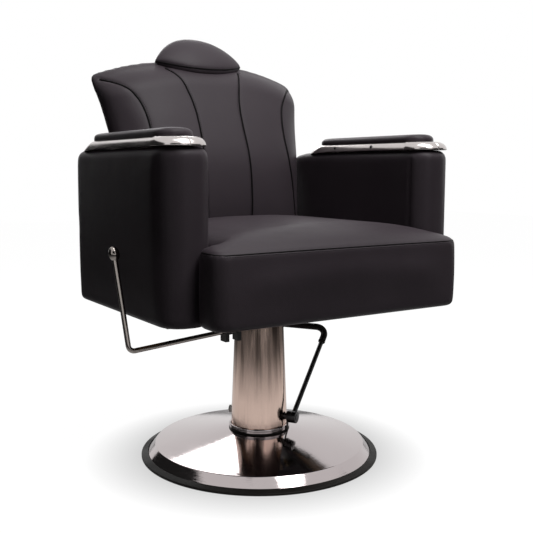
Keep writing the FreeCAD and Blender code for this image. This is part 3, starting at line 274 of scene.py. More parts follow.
GASKET_INNER = 0.0650
GASKET_OUTER = 0.0772
GASKET_FOOT = 0.0622
GASKET_TOP = 0.0662
turned("shroud_gasket", rubber, [
    (GASKET_INNER, GASKET_FOOT, 0),
    (GASKET_OUTER, GASKET_FOOT, 0.001),
    (GASKET_OUTER, GASKET_TOP, 0.0012),
    (GASKET_INNER, GASKET_TOP, 0),
])
COLLAR_INNER = 0.0716
COLLAR_OUTER = 0.0765
COLLAR_FOOT = 0.0664
COLLAR_GROOVE = 0.0714
COLLAR_TOP = 0.0770
turned("shroud_collar", dish_chrome, [
    (COLLAR_INNER, COLLAR_FOOT, 0),
    (COLLAR_OUTER, COLLAR_FOOT, 0.0012),
    (COLLAR_OUTER, COLLAR_GROOVE - 0.0004, 0.0006),
    (COLLAR_OUTER - 0.0008, COLLAR_GROOVE, 0),
    (COLLAR_OUTER, COLLAR_GROOVE + 0.0004, 0.0006),
    (COLLAR_OUTER, COLLAR_TOP, 0.0025),
    (COLLAR_INNER, COLLAR_TOP, 0.0008),
])
SHAFT_TURN = math.radians(31.8)
SHAFT_PLACE = np.array((0, 0, 0.1))
SHAFT_AXIS = np.array((math.sin(SHAFT_TURN), -math.cos(SHAFT_TURN), 0))
PEDAL_WAY = np.array((math.cos(SHAFT_TURN), math.sin(SHAFT_TURN), 0))
STOP_NEAR = 0.0778
STOP_FAR = 0.0803
STOP_HALF = 0.0035
STOP_FOOT = 0.0600
STOP_TOP = 0.1120
stop_corners = [(STOP_NEAR, -1), (STOP_FAR, -1), (STOP_FAR, 1), (STOP_NEAR, 1)]
stop_places = [(out * SHAFT_AXIS + side * STOP_HALF * PEDAL_WAY)[:2] for out, side in stop_corners]
stop_outline = round_corners([(*place, 0.0006) for place in stop_places], 4)
stop_mesh = grid_mesh(prism(stop_outline, STOP_FOOT, STOP_TOP))
add_piece("pedal_stop", stop_mesh, "base", rubber, stands_for_node=False)


# Column: a tapered chrome tube over the pump, rolled and polished, with a hole at each side for the
# pedal's shaft. It stands in the band at its foot and is open at the top, where the ram comes out.
def math_of(tree, kind, first, second):
    """Result of a math node on two values."""
    node = tree.nodes.new("ShaderNodeMath")
    node.operation = kind
    tree.links.new(first, node.inputs[0])
    tree.links.new(second, node.inputs[1])
    return node.outputs["Value"]


def column_finish():
    """Drawn chrome with fine upright lines. Its warm tone is a painted reflection of warm surroundings, and
    dark streaks that hang from the column's top are a painted reflection and shadow of the seat above.
    """
    # Warm colour: a painted reflection of warm surroundings.
    made, tree, shader, place = finish_of("column_chrome", (0.60, 0.46, 0.41), 0.14, 1.0)
    split = tree.nodes.new("ShaderNodeSeparateXYZ")
    tree.links.new(place, split.inputs["Vector"])
    # Painted reflection and shadow of the seat above: streaks that darken the column towards its top.
    high = spread_of(tree, split.outputs["Z"], 0.0, 1.0, 0.14, 0.36)
    streaks = spread_of(tree, speckle(tree, place, 62, 5, (1, 1, 0.05)), 0.0, 1.0, 0.46, 0.60)
    painted_seat_reflection = math_of(tree, "MULTIPLY", high, streaks)
    tint_between(tree, painted_seat_reflection, (0.86, 0.645, 0.55), (0.06, 0.042, 0.036), shader)
    lines = speckle(tree, place, 300, 3, (1, 1, 0.02))
    tree.links.new(spread_of(tree, lines, 0.10, 0.22), shader.inputs["Roughness"])
    raise_by(tree, lines, 0.0003, shader, 0.2)
    return made


def worked(piece):
    """The piece's mesh with its modifiers worked in."""
    seen = piece.evaluated_get(bpy.context.evaluated_depsgraph_get())
    return bpy.data.meshes.new_from_object(seen)


def drum(profile, start, axis, steps=48):
    """A profile (along the axis, radius) turned about an axis through start."""
    axis = unit(np.array(axis))
    side = unit(np.cross(axis, (0, 0, 1)) if abs(axis[2]) < 0.9 else np.array((1.0, 0, 0)))
    lift = np.cross(axis, side)
    turn = np.linspace(0, 2 * np.pi, steps + 1)[:, None]
    ring = np.cos(turn) * side + np.sin(turn) * lift
    return np.array(start) + profile[:, 0, None, None] * axis + profile[:, 1, None, None] * ring


column_chrome = column_finish()
COLUMN_FOOT = 0.0664
COLUMN_BEND = 0.130
COLUMN_TOP = 0.388
FOOT_RADIUS = 0.0710
BEND_RADIUS = 0.0696
TOP_RADIUS = 0.0592
COLUMN_WALL = 0.0016
flare_radius = FOOT_RADIUS - (FOOT_RADIUS - BEND_RADIUS) * np.linspace(0, 1, 9) ** 1.6
flare = np.stack([flare_radius, np.linspace(COLUMN_FOOT, COLUMN_BEND, 9)], 1)
taper = np.stack([np.linspace(BEND_RADIUS, TOP_RADIUS, 24), np.linspace(COLUMN_BEND, COLUMN_TOP, 24)], 1)
shroud_profile = np.concatenate([flare, taper[1:]])
shroud_ring = np.concatenate([shroud_profile, shroud_profile[::-1] - (COLUMN_WALL, 0), shroud_profile[:1]])
column = add_piece("pump_shroud", grid_mesh(lathe(shroud_ring, 160)), "base", column_chrome)
HOLE_RADIUS = 0.0105
HOLE_REACH = 0.12
hole_profile = np.array([(-1, 0), (-1, 1), (1, 1), (1, 0)]) * (HOLE_REACH, HOLE_RADIUS)
hole = put_in("hole", grid_mesh(drum(hole_profile, SHAFT_PLACE, SHAFT_AXIS)))
drill = column.modifiers.new("holes", "BOOLEAN")
drill.object = hole
column_mesh = worked(column)
column.modifiers.clear()
column.data = column_mesh
bpy.data.objects.remove(hole)


# Pump pedal: one bent black rod from a clamp on the pump's cross shaft, with a thick rubber sleeve on
# the foot bar. The clamp and the shaft are dark steel, and the nut at the far end is zinc plated.
def steel_finish(name, colour, rough, metallic=1.0, shine=0.5):
    """Metal, paint or thread: cloudy roughness with fine scratches."""
    made, tree, shader, place = finish_of(name, colour, rough, metallic, {"Specular IOR Level": shine})
    clouds = speckle(tree, place, 40, 4)
    tree.links.new(spread_of(tree, clouds, 0.8 * rough, 1.25 * rough), shader.inputs["Roughness"])
    tint_between(tree, clouds, tuple(0.75 * part for part in colour), colour, shader)
    raise_by(tree, speckle(tree, place, 700, 2, (1, 1, 0.1)), 0.0003, shader, 0.3)
    return made


def ramp(value, start, length):
    """The share of a length that a value has gone from its start, held between 0 and 1."""
    return np.clip((value - start) / length, 0, 1)


quarter = np.linspace(0, np.pi / 2, 7)


def way_along(line):
    """How far along a line each of its points is."""
    return np.concatenate([[0], np.cumsum(np.linalg.norm(np.diff(line, axis=0), axis=1))])


def tube(path, radius, end, plane, sides=28, lip=0.0):
    """A round section carried along a flat path, with round ends and, if wanted, a lip at its start.
    The radius runs as a quarter circle over the first and last stretch, and plane is square to the path."""
    reach = way_along(path)
    curl_in = end * (1 - np.cos(quarter))
    straight = np.linspace(end, reach[-1] - end, 120)[1:-1]
    along = np.concatenate([curl_in, straight, reach[-1] - curl_in[::-1]])
    line = np.stack([np.interp(along, reach, path[:, k]) for k in range(3)], 1)
    ahead = unit(np.gradient(line, along, axis=0))
    side = unit(np.cross(ahead, plane))
    lift = np.cross(side, ahead)
    left = ramp(np.minimum(along, reach[-1] - along), 0, end)
    thick = radius * np.sqrt(1 - (1 - left) ** 2) + lip * np.exp(-((along - 1.6 * end) / end) ** 2)
    thick[[0, -1]] = 0
    turn = np.linspace(0, 2 * np.pi, sides + 1)[:, None]
    ring = np.cos(turn) * side[:, None] + np.sin(turn) * lift[:, None]
    return line[:, None] + thick[:, None, None] * ring


dark_steel = steel_finish("dark_steel", (0.045, 0.042, 0.042), 0.30)
zinc = steel_finish("zinc", (0.55, 0.54, 0.52), 0.35)
enamel = steel_finish("enamel", (0.012, 0.011, 0.012), 0.32, 0.0)
PEDAL_TILT = math.radians(38.2)
PEDAL_SIDE = 0.093
PEDAL_REACH = 0.300
PEDAL_BEND = 0.032
pedal_out = math.cos(PEDAL_TILT) * PEDAL_WAY + math.sin(PEDAL_TILT) * np.array((0, 0, 1))
pedal_plane = np.cross(pedal_out, SHAFT_AXIS)


def pedal_line(start, end):
    """The pedal's bent line, from a place along its leg round the bend to the end of its foot bar."""
    corners = [(start, PEDAL_SIDE, 0), (PEDAL_REACH, PEDAL_SIDE, PEDAL_BEND), (PEDAL_REACH, end, 0)]
    places = [(*(SHAFT_PLACE + out * pedal_out + side * SHAFT_AXIS), radius) for out, side, radius in corners]
    return round_corners(places, 16, False)


def on_shaft(name, material, corners, steps=48):
    """A piece of the pedal: corners (along the shaft, radius, rounding) turned about the pump's shaft."""
    profile = round_corners(corners, closed=False)
    mesh = grid_mesh(drum(profile, SHAFT_PLACE, SHAFT_AXIS, steps))
    add_piece(name, mesh, "pump_lever", material)


ROD_START = 0.010
ROD_END = -0.0898
ROD_RADIUS = 0.006
SLEEVE_START = 0.246
SLEEVE_END = -0.0900
SLEEVE_RADIUS = 0.0089
rod = tube(pedal_line(ROD_START, ROD_END), ROD_RADIUS, 0.002, pedal_plane)
add_piece("pump_pedal", grid_mesh(rod), "pump_lever", enamel)
sleeve = tube(pedal_line(SLEEVE_START, SLEEVE_END), SLEEVE_RADIUS, 0.003, pedal_plane, lip=0.0007)
add_piece("pump_sleeve", grid_mesh(sleeve), "pump_lever", rubber)
HUB_NEAR = 0.0810
HUB_FAR = 0.1050
HUB_RADIUS = 0.0150
HUB_GROOVE = 0.0930
SHAFT_TIP = 0.1062
on_shaft("pump_hub", dark_steel, [
    (HUB_NEAR, 0, 0),
    (HUB_NEAR, HUB_RADIUS, 0.0016),
    (HUB_GROOVE - 0.0005, HUB_RADIUS, 0),
    (HUB_GROOVE, HUB_RADIUS - 0.0005, 0),
    (HUB_GROOVE + 0.0005, HUB_RADIUS, 0),
    (HUB_FAR, HUB_RADIUS, 0.0016),
    (HUB_FAR, 0.0085, 0.0004),
    (SHAFT_TIP, 0.0078, 0.0006),
    (SHAFT_TIP, 0, 0),
])
SHAFT_END = -0.0850
SHAFT_RADIUS = 0.008
on_shaft("pump_shaft", dark_steel, [
    (SHAFT_END, 0, 0),
    (SHAFT_END, SHAFT_RADIUS, 0.001),
    (HUB_NEAR, SHAFT_RADIUS, 0),
    (HUB_NEAR, 0, 0),
])
NUT_OUT = -0.0840
NUT_IN = -0.0740
NUT_RADIUS = 0.011
NUT_BORE = 0.0078
on_shaft("pump_nut", zinc, [
    (NUT_OUT, NUT_BORE, 0),
    (NUT_OUT, NUT_RADIUS, 0.0012),
    (NUT_IN, NUT_RADIUS, 0.0012),
    (NUT_IN, NUT_BORE, 0),
    (NUT_OUT, NUT_BORE, 0),
], 6)


# Pump, ram and seat carrier: the hidden working parts, shown as the CAD made them with their own finishes.
# Cast iron for the pump, ground steel for the ram, brass for its guide, black paint for carrier and hinges.
def wood_finish():
    """Birch plywood: long grain with darker streaks."""
    made, tree, shader, place = finish_of("plywood", (0.5, 0.33, 0.18), 0.62)
    grain = speckle(tree, place, 30, 5, (1, 0.06, 1))
    tint_between(tree, grain, (0.36, 0.22, 0.11), (0.60, 0.42, 0.25), shader)
    raise_by(tree, grain, 0.0004, shader, 0.4)
    return made


plywood = wood_finish()
iron = steel_finish("iron", (0.06, 0.06, 0.062), 0.6, 0.4)
bright_steel = steel_finish("bright_steel", (0.62, 0.61, 0.60), 0.16)
brass = steel_finish("brass", (0.72, 0.50, 0.22), 0.28)
CARRIED = {
    iron: ["pump_block"],
    bright_steel: ["lift_ram", "recline_rod", "release_button", "headrest_post", "hinge_pins", "crank_pin",
                   "pump_plunger"],
    brass: ["pump_gland", "swivel_washer", "hinge_spacers"],
    zinc: ["pump_bolts", "swivel_bolts", "recline_barrel", "pump_tube"],
    enamel: ["floor_plate", "swivel_plate", "seat_frame", "arm_plates", "hinge_plates", "recline_hangers",
             "lever_bearings", "back_side_plates", "back_hinge_tube", "back_crank", "headrest_socket",
             "headrest_plate", "recline_fork", "release_cam"],
    plywood: ["seat_board", "seat_nose_board", "arm_core_right", "arm_core_left", "back_board",
              "headrest_board"],
}
for finish, names in CARRIED.items():
    for name in names:
        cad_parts[name].data.materials.clear()
        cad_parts[name].data.materials.append(finish)


# Seat cushion: thick foam under black leatherette, wide at the front where it wraps round the arms.
# The top panel is crowned and joined to the front band by a sewn edge.
def evenly(line, count):
    """The same line with its points evenly spaced."""
    reach = way_along(line)
    along = np.linspace(0, reach[-1], count)
    return np.stack([np.interp(along, reach, line[:, k]) for k in range(line.shape[1])], 1)


def open_line(corners, count):
    """A line through corners (x, y, rounding), with its points evenly spaced."""
    return evenly(round_corners(corners, closed=False), count)


def across(first, second, count, height):
    """Rows of points from one side of an outline to the other, at a height given by a function of x and y."""
    share = np.linspace(0, 1, count)[None, :, None]
    flat = first[:, None, :2] * (1 - share) + second[:, None, :2] * share
    return np.concatenate([flat, height(flat[..., 0], flat[..., 1])[..., None]], -1)


def lid(ring, count, height):
    """Rows of points that close an outline of two like halves, at the height that a function gives."""
    half = len(ring) // 2
    return across(ring[:half], ring[half:-1][::-1], count, height)


def level(height):
    """A height that is the same everywhere, as a function of x and y."""
    return lambda x, y: np.full(x.shape, height)


def read_out(items, field):
    """A field of three numbers of each item of a mesh, as an array."""
    out = np.empty(3 * len(items), np.float32)
    items.foreach_get(field, out)
    return out.reshape(-1, 3).astype(float)


def places_of(mesh):
    """The vertices of a mesh as an array."""
    return read_out(mesh.vertices, "co")


def normals_of(mesh):
    """The normals at the vertices of a mesh as an array."""
    return read_out(mesh.vertex_normals, "vector")


def put_places(mesh, points):
    """Writes moved vertices back to a mesh."""
    mesh.vertices.foreach_set("co", points.astype(np.float32).ravel())
    mesh.update()


def evened(mesh, values, rounds=24):
    """Values at the vertices of a mesh, averaged a number of times with those at the ends of their edges."""
    ends = np.empty(2 * len(mesh.edges), np.int32)
    mesh.edges.foreach_get("vertices", ends)
    first, second = ends.reshape(-1, 2).T
    here = np.concatenate([first, second])
    there = np.concatenate([second, first])
    count = np.bincount(here, minlength=len(values))
    for _ in range(rounds):
        around = [np.bincount(here, values[there, k], len(values)) / count for k in range(3)]
        values = (values + np.stack(around, 1)) / 2
    return values


FILL_STEPS = 20
FULL_RISE = 0.002


def stuff(piece, free, voxel, cap, smooth):
    """Stuffs a piece: an even skin of voxels, drawn back onto its first form, is blown up as cloth.
    Each point moves outwards by the cap at most. free gives, for each point, how far it may move:
    0 where the piece lies on a board, 1 on a free face."""
    even = piece.modifiers.new("even", "REMESH")
    even.mode = "VOXEL"
    even.voxel_size = voxel
    form = piece.copy()
    form.data = piece.data.copy()
    scene.collection.objects.link(form)
    onto = piece.modifiers.new("onto", "SHRINKWRAP")
    onto.target = form
    soft = piece.modifiers.new("soft", "SMOOTH")
    soft.iterations = smooth
    mesh = worked(piece)
    piece.modifiers.clear()
    piece.data = mesh
    bpy.data.objects.remove(form)
    start = places_of(mesh)
    fill = piece.modifiers.new("fill", "CLOTH")
    fill.settings.quality = 4
    fill.settings.mass = 0.3
    fill.settings.use_pressure = True
    fill.settings.uniform_pressure_force = 4.0
    fill.settings.effector_weights.gravity = 0
    fill.settings.tension_stiffness = 12
    fill.settings.compression_stiffness = 12
    fill.settings.bending_stiffness = 0.6
    for step in range(1, FILL_STEPS + 1):
        scene.frame_set(step)
    moved = places_of(piece.evaluated_get(bpy.context.evaluated_depsgraph_get()).data) - start
    piece.modifiers.clear()
    scene.frame_set(1)
    length = np.linalg.norm(moved, axis=1, keepdims=True)
    rising = ramp((moved * normals_of(mesh)).sum(axis=1, keepdims=True), 0, FULL_RISE)
    held = rising * np.minimum(1, cap / np.maximum(length, TINY)) * free(start)[:, None]
    put_places(mesh, start + evened(mesh, moved * held))


def distance_to(points, line):
    """How far each point is from the nearest sample of a line."""
    square = sum((points[:, k, None] - line[None, :, k]) ** 2 for k in range(3))
    return np.sqrt(square.min(axis=1))


def sew(piece, line, depth, width):
    """Presses a seam into a piece.
    Points move in along their normals by depth, less with distance from the line."""
    points = places_of(piece.data)
    press = depth * np.exp(-(distance_to(points, evenly(line, 160)) / width) ** 2)
    put_places(piece.data, points - normals_of(piece.data) * press[:, None])


def laid_on(piece, line, lift, pace=0.003):
    """A line drawn onto a piece's surface at a pace, lifted off it a little.
    Each point is the average of the nine round it."""
    corners = [corner.co for corner in piece.data.vertices]
    tree = BVHTree.FromPolygons(corners, [face.vertices for face in piece.data.polygons])
    count = int(way_along(line)[-1] / pace)
    hits = [tree.find_nearest(place) for place in evenly(line, count).tolist()]
    path = np.array([place + normal * lift for place, normal, _, _ in hits])
    wide = np.pad(path, ((4, 4), (0, 0)), mode="reflect", reflect_type="odd")
    return np.stack([np.convolve(wide[:, k], np.full(9, 1 / 9), "valid") for k in range(3)], 1)


def welt(name, piece, line, body, radius, lift=0.0, plane=(0, -1, 0)):
    """A sewn cord along a seam: a thin round section carried along the line that is drawn onto the piece. Its
    near-black colour is painted shade, standing in for the shadow in the seam's groove.
    """
    cord = tube(laid_on(piece, line, lift), radius, 0.002, plane, 10)
    add_piece(name, grid_mesh(cord), body, thread, stands_for_node=False)


STITCH_PACE = 0.0055
STITCH_HALF = 0.0019
STITCH_RADIUS = 0.0005
STITCH_LIFT = 0.0003
STITCH_GAP = 0.006
ASLANT = (0.31, -0.77, 0.56)


def stitch_row(name, piece, line, body):
    """A row of sewing threads along a line drawn onto the piece: one slim ellipsoid at every pace."""
    path = laid_on(piece, line, STITCH_LIFT)
    path = evenly(path, int(way_along(path)[-1] / STITCH_PACE))
    ahead = unit(np.gradient(path, axis=0))
    side = unit(np.cross(ahead, ASLANT))
    lift = np.cross(side, ahead)
    tip = np.linspace(-np.pi / 2, np.pi / 2, 6)[:, None, None]
    turn = np.linspace(0, 2 * np.pi, 7)[None, :, None]
    along = STITCH_HALF * np.sin(tip)
    out = STITCH_RADIUS * np.cos(tip)
    threads = [place + along * a + out * (np.cos(turn) * s + np.sin(turn) * up)
               for place, a, s, up in zip(path, ahead, side, lift)]
    add_piece(name, grid_mesh(*threads), body, thread, stands_for_node=False)


def leather_finish():
    """Black leatherette: pebble grain, a soft sheen with rubbed patches, and a faint warm tint where worn."""
    made, tree, shader, place = finish_of("leather", (0.050, 0.0405, 0.047), 0.42, extra={
        "Specular IOR Level": 0.16, "Sheen Weight": 0.010, "Sheen Roughness": 0.40,
        "Sheen Tint": (0.95, 0.86, 0.93, 1)})
    rub = speckle(tree, place, 5, 4)
    tint_between(tree, rub, (0.042, 0.0335, 0.0395), (0.061, 0.0485, 0.0570), shader)
    tree.links.new(spread_of(tree, rub, 0.38, 0.50), shader.inputs["Roughness"])
    pebbles = tree.nodes.new("ShaderNodeTexVoronoi")
    pebbles.inputs["Scale"].default_value = 620
    tree.links.new(place, pebbles.inputs["Vector"])
    raise_by(tree, pebbles.outputs["Distance"], 0.0005, shader, 0.35)
    raise_by(tree, speckle(tree, place, 32, 3), 0.003, shader, 0.16)
    return made


def smoothed(piece):
    """Gives a piece a finer, rounder skin."""
    fine = piece.modifiers.new("fine", "SUBSURF")
    fine.levels = 1
    fine.render_levels = 1


def padded_piece(name, body, mesh, free, voxel, cap, smooth=5):
    """A stuffed leather piece that stands for the CAD node of its name."""
    piece = add_piece(name, mesh, body, leather, crease=180)
    stuff(piece, free, voxel, cap, smooth)
    piece.data.materials.clear()
    piece.data.materials.append(leather)
    piece.data.shade_smooth()
    smoothed(piece)
    return piece


def outward(ring):
    """Flat normals of a closed outline, pointing away from its middle line."""
    ahead = np.gradient(ring, axis=0)
    ahead[0] = ahead[-1] = ring[1] - ring[-2]
    return unit(np.stack([ahead[:, 1], -ahead[:, 0]], 1))


leather = leather_finish()
# Near-black thread: the stitches' own colour, and on the welt cords also painted shade in the seam grooves.
thread = steel_finish("thread_and_painted_seam_shade", (0.006, 0.005, 0.0055), 0.6, 0.0, 0.08)
SEAT_FRONT = -0.3640
SEAT_NOTCH = -0.2830
SEAT_REAR = 0.1235
SEAT_WIDE = 0.3270
SEAT_NARROW = 0.2765
SEAT_FOOT = 0.3995
SEAT_SEAM = 0.556
SEAT_ROLL = 0.012
SEAT_BELLY = 0.002
SEAT_RISE = 0.013
SEAT_CROWN = 0.029
CROWN_HALF = 0.30
FRONT_FALL = 0.11
SIDE_FALL = 0.030
FALL_POWER = 2.5
SEAM_POINTS = 95
seat_half = open_line([
    (0, SEAT_FRONT, 0),
    (SEAT_WIDE, SEAT_FRONT, 0.035),
    (SEAT_WIDE, SEAT_NOTCH, 0.010),
    (SEAT_NARROW, SEAT_NOTCH, 0.008),
    (SEAT_NARROW, SEAT_REAR, 0.020),
    (0, SEAT_REAR, 0),
], 150)
seat_right = seat_half * (-1, 1)
seat_ring = np.concatenate([seat_half, seat_right[::-1], seat_half[:1]])


def seat_top(x, y):
    """Crowned top: highest along the middle, falling to the arms.
    It rolls down to the seam at front and sides as one minus a power of the distance left."""
    rise = SEAT_RISE + SEAT_CROWN * (1 - ramp(np.abs(x), 0, CROWN_HALF) ** 2.2)
    front = ramp(y, SEAT_FRONT, FRONT_FALL)
    place = np.stack([x.ravel(), y.ravel(), 0 * x.ravel()], 1)
    side = ramp(distance_to(place, at_height(seat_ring, 0)).reshape(x.shape), 0, SIDE_FALL)
    return SEAT_SEAM + rise * (1 - (1 - front) ** FALL_POWER) * (1 - (1 - side) ** FALL_POWER)


def seat_free(points):
    """How far the seat may swell: not at its foot and not at its rear."""
    return ramp(points[:, 2], 0.43, 0.05) * ramp(points[:, 1], 0.11, -0.03)


seat_levels = np.concatenate([SEAT_FOOT + SEAT_ROLL * (1 - np.cos(np.linspace(0, np.pi / 2, 6))),
                              np.linspace(SEAT_FOOT + 0.018, SEAT_SEAM, 16)])
below_roll = np.maximum(0, SEAT_FOOT + SEAT_ROLL - seat_levels)
foot_in = SEAT_ROLL - np.sqrt(np.maximum(0, SEAT_ROLL ** 2 - below_roll ** 2))
belly = SEAT_BELLY * np.sin(np.pi * (seat_levels - SEAT_FOOT) / (SEAT_SEAM - SEAT_FOOT))
seat_normals = outward(seat_ring)
seat_wall = np.stack([at_height(seat_ring + seat_normals * (out - inset), height)
                      for out, inset, height in zip(belly, foot_in, seat_levels)])
seat_mesh = grid_mesh(seat_wall, across(seat_half, seat_right, 90, seat_top),
                      lid(seat_wall[0], 90, level(SEAT_FOOT)))
seat = padded_piece("seat_cushion", "seat", seat_mesh, seat_free, voxel=0.0065, cap=0.005)
seat_seam = at_height(seat_ring[:SEAM_POINTS], SEAT_SEAM)
seat_seam = np.concatenate([seat_seam[::-1] * (-1, 1, 1), seat_seam])
sew(seat, seat_seam, depth=0.003, width=0.004)
welt("seat_seam", seat, seat_seam, "seat", radius=0.0015, plane=(0, 0, 1))
stitch_row("seat_stitches", seat, seat_seam - (0, 0, STITCH_GAP), "seat")

# Arms: a plywood core under foam and the same leatherette, with a round front and a rear that falls at
# the top. The right arm is the left one mirrored.
ARM_INNER = 0.2793
ARM_OUTER = 0.3902
ARM_MIDDLE = (ARM_INNER + ARM_OUTER) / 2
ARM_FRONT = -0.2785
ARM_REAR = 0.2610
ARM_FOOT = 0.3970
ARM_TOP = 0.7635
FOOT_ROLL = 0.012
TOP_ROLL = 0.020
SLOPE_START = 0.203
SLOPE_END = 0.262
SLOPE_FOOT = 0.55
SLOPE_INNER = 0.007
SLOPE_MORE = 0.013
HEEL_START = 0.235
HEEL_HEIGHT = 0.08
HEEL_RISE = 0.014


def arm_level(inset, height):
    """One outline of the arm: its inner and outer halves, drawn in by inset, from the front to the rear."""
    front = ARM_FRONT + inset
    rear = ARM_REAR - inset
    inner = ARM_INNER + inset
    outer = ARM_OUTER - inset
    start = (ARM_MIDDLE, front, 0)
    end = (ARM_MIDDLE, rear, 0)
    rear_rounding = max(0.008 - inset, 0.002)
    first = open_line([start, (inner, front, 0.042 - inset), (inner, rear, rear_rounding), end], 90)
    second = open_line([start, (outer, front, 0.055 - inset), (outer, rear, 0.066 - inset), end], 90)
    return at_height(np.concatenate([first, second[::-1], first[:1]]), height)


def sloped(points):
    """Lowers the rear of the arm: the fall grows along the last stretch and is full at the top.
    It is deeper on the outer side, and the foot rises a little at the very rear."""
    x, y, z = np.moveaxis(points, -1, 0)
    along = ramp(y, SLOPE_START, SLOPE_END - SLOPE_START)
    high = ramp(z, SLOPE_FOOT, ARM_TOP - SLOPE_FOOT)
    behind = ramp(y, HEEL_START, SLOPE_END - HEEL_START)
    heel = behind ** 2 * (1 - ramp(z, ARM_FOOT, HEEL_HEIGHT))
    outer = ramp(x, ARM_INNER, ARM_OUTER - ARM_INNER)
    out = points.copy()
    out[..., 2] += HEEL_RISE * heel - (SLOPE_INNER + SLOPE_MORE * outer) * along ** 1.4 * high ** 2
    return out


def arm_free(points):
    """How far the arm may swell: not at its foot or under the trim, and little on its inner side."""
    x, y, z = points.T
    inner = np.where(y < -0.2, 0.3, 0.1)
    return ramp(z, ARM_FOOT + 0.015, 0.05) * ramp(z, 0.755, -0.03) * np.where(x < 0.29, inner, 1)


def mirrored(mesh):
    """A copy of a mesh on the other side of the chair."""
    twin = mesh.copy()
    put_places(twin, places_of(twin) * (-1, 1, 1))
    twin.flip_normals()
    return twin


def padded_twin(piece, name):
    """The stuffed piece of the right side: a mirrored copy of the left one with the same skin."""
    twin = add_piece(name, mirrored(piece.data), "seat", leather, crease=180)
    smoothed(twin)
    return twin


arm_levels = [(FOOT_ROLL * (1 - np.sin(a)), ARM_FOOT + FOOT_ROLL * (1 - np.cos(a))) for a in quarter]
arm_levels += [(0.0, height) for height in np.linspace(ARM_FOOT + 0.02, ARM_TOP - 0.026, 24)]
arm_levels += [(TOP_ROLL * (1 - np.cos(a)), ARM_TOP - TOP_ROLL * (1 - np.sin(a))) for a in quarter]
arm_wall = np.stack([arm_level(*place) for place in arm_levels])
arm_cover = lid(arm_wall[-1], 24, level(ARM_TOP))
arm_floor = lid(arm_wall[0], 24, level(ARM_FOOT))
arm_mesh = grid_mesh(sloped(arm_wall), sloped(arm_cover), sloped(arm_floor))
arm_left = padded_piece("arm_left", "seat", arm_mesh, arm_free, voxel=0.006, cap=0.004)
ARM_SEAM_PLACE = (0.279, -0.2375)
ARM_SEAM_FOOT = 0.45
ARM_SEAM_TOP = 0.74
ARM_STITCH_GAP = 0.005
arm_seam = np.array([(*ARM_SEAM_PLACE, height) for height in (ARM_SEAM_FOOT, ARM_SEAM_TOP)])
sew(arm_left, arm_seam, depth=0.0022, width=0.003)
arm_stitches = arm_seam - (0, ARM_STITCH_GAP, 0)
stitch_row("arm_stitches_left", arm_left, arm_stitches, "seat")
arm_right = padded_twin(arm_left, "arm_right")
stitch_row("arm_stitches_right", arm_right, arm_stitches * (-1, 1, 1), "seat")


# Arm trims: a pressed chrome band round the top of each arm, closed at the front by a chrome cap.
# Two black screws hold each band to the core from the inner side.
def capsule(half, front, rear, corner):
    """A rounded rectangle as one closed line of evenly spaced points from the middle of its front."""
    line = round_corners([(0, front, 0), (half, front, corner), (half, rear, corner), (0, rear, 0),
                          (-half, rear, corner), (-half, front, corner)], 14)
    return evenly(line, 257)


def both_sides(name, mesh, material, stands_for_node=True):
    """Shows a mesh of the left arm, after its mirrored copy for the right arm."""
    for side, shape in (("right", mirrored(mesh)), ("left", mesh)):
        add_piece(f"{name}_{side}", shape, "seat", material, stands_for_node)


chrome = chrome_finish("chrome", (0.14, 0.26), (0.58, 0.535, 0.525))
BAND_FOOT = 0.7642
BAND_HEIGHT = 0.0198
BAND_OUT = 0.0035
BAND_ROLL = 0.0111
BAND_INNER_FOOT = 0.7646
BAND_INNER_TOP = 0.7838
LET_IN = 0.005
LET_IN_START = 0.08
LET_IN_LENGTH = 0.10
FOOT_SHARE = 0.08
to_left_arm = np.array((ARM_MIDDLE, 0, 0))
band_foot = capsule(0.0510, -0.2720, 0.2050, 0.046)
band_head = capsule(0.0465, -0.2560, 0.1690, 0.044)
band_inner = capsule(0.0405, -0.2500, 0.1630, 0.038)


def band_swell(share):
    """How far the band stands out at a share of its height.
    It comes out quickly at its foot and then goes in as a quarter ellipse."""
    foot = BAND_OUT * np.sqrt(np.clip(1 - (1 - share / FOOT_SHARE) ** 2, 0, 1))
    roll = BAND_ROLL * (1 - np.sqrt(1 - ramp(share, FOOT_SHARE, 1 - FOOT_SHARE) ** 2))
    return np.where(share < FOOT_SHARE, foot, BAND_OUT - roll)


def band_level(share):
    """The band's outline at a share of the way from its foot to its head, let into the arm at the rear."""
    line = band_foot * (1 - share) + band_head * share
    outline = at_height(line + outward(line) * band_swell(share), BAND_FOOT + BAND_HEIGHT * share)
    outline[:, 2] -= LET_IN * (1 - share) * ramp(line[:, 1], LET_IN_START, LET_IN_LENGTH)
    return outline


roll_shares = FOOT_SHARE + (1 - FOOT_SHARE) * np.sin(np.linspace(0, np.pi / 2, 12))
band_shares = np.concatenate([[0, 0.02, 0.05], roll_shares])
band_levels = [band_level(share) for share in band_shares]
band_levels += [at_height(band_inner, height) for height in (BAND_INNER_TOP, BAND_INNER_FOOT)]
band_levels += band_levels[:1]
both_sides("arm_trim", grid_mesh(np.stack(band_levels) + to_left_arm), chrome)
CAP_REAR = -0.212
CAP_OUT = 0.0020
CAP_HEIGHT = 0.0202
CAP_SHEET = 0.0016
LIP_OUT = 0.0018
LIP_PLACE = 0.0030
LIP_WIDTH = 0.0020


def cap_line(share):
    """The cap's outline at a share of its height.
    It is the band's front, further out, and its nose goes in as a quarter ellipse."""
    round_share = 1 - math.sqrt(1 - share ** 2)
    line = band_foot * (1 - round_share) + band_head * round_share
    line = line + outward(line) * (band_swell(share) + CAP_OUT)
    half = line[line[:, 0] >= 0]
    half = evenly(half[half[:, 1] < CAP_REAR], 90)
    return at_height(np.concatenate([half[::-1] * (-1, 1), half[1:]]), BAND_FOOT + CAP_HEIGHT * share)


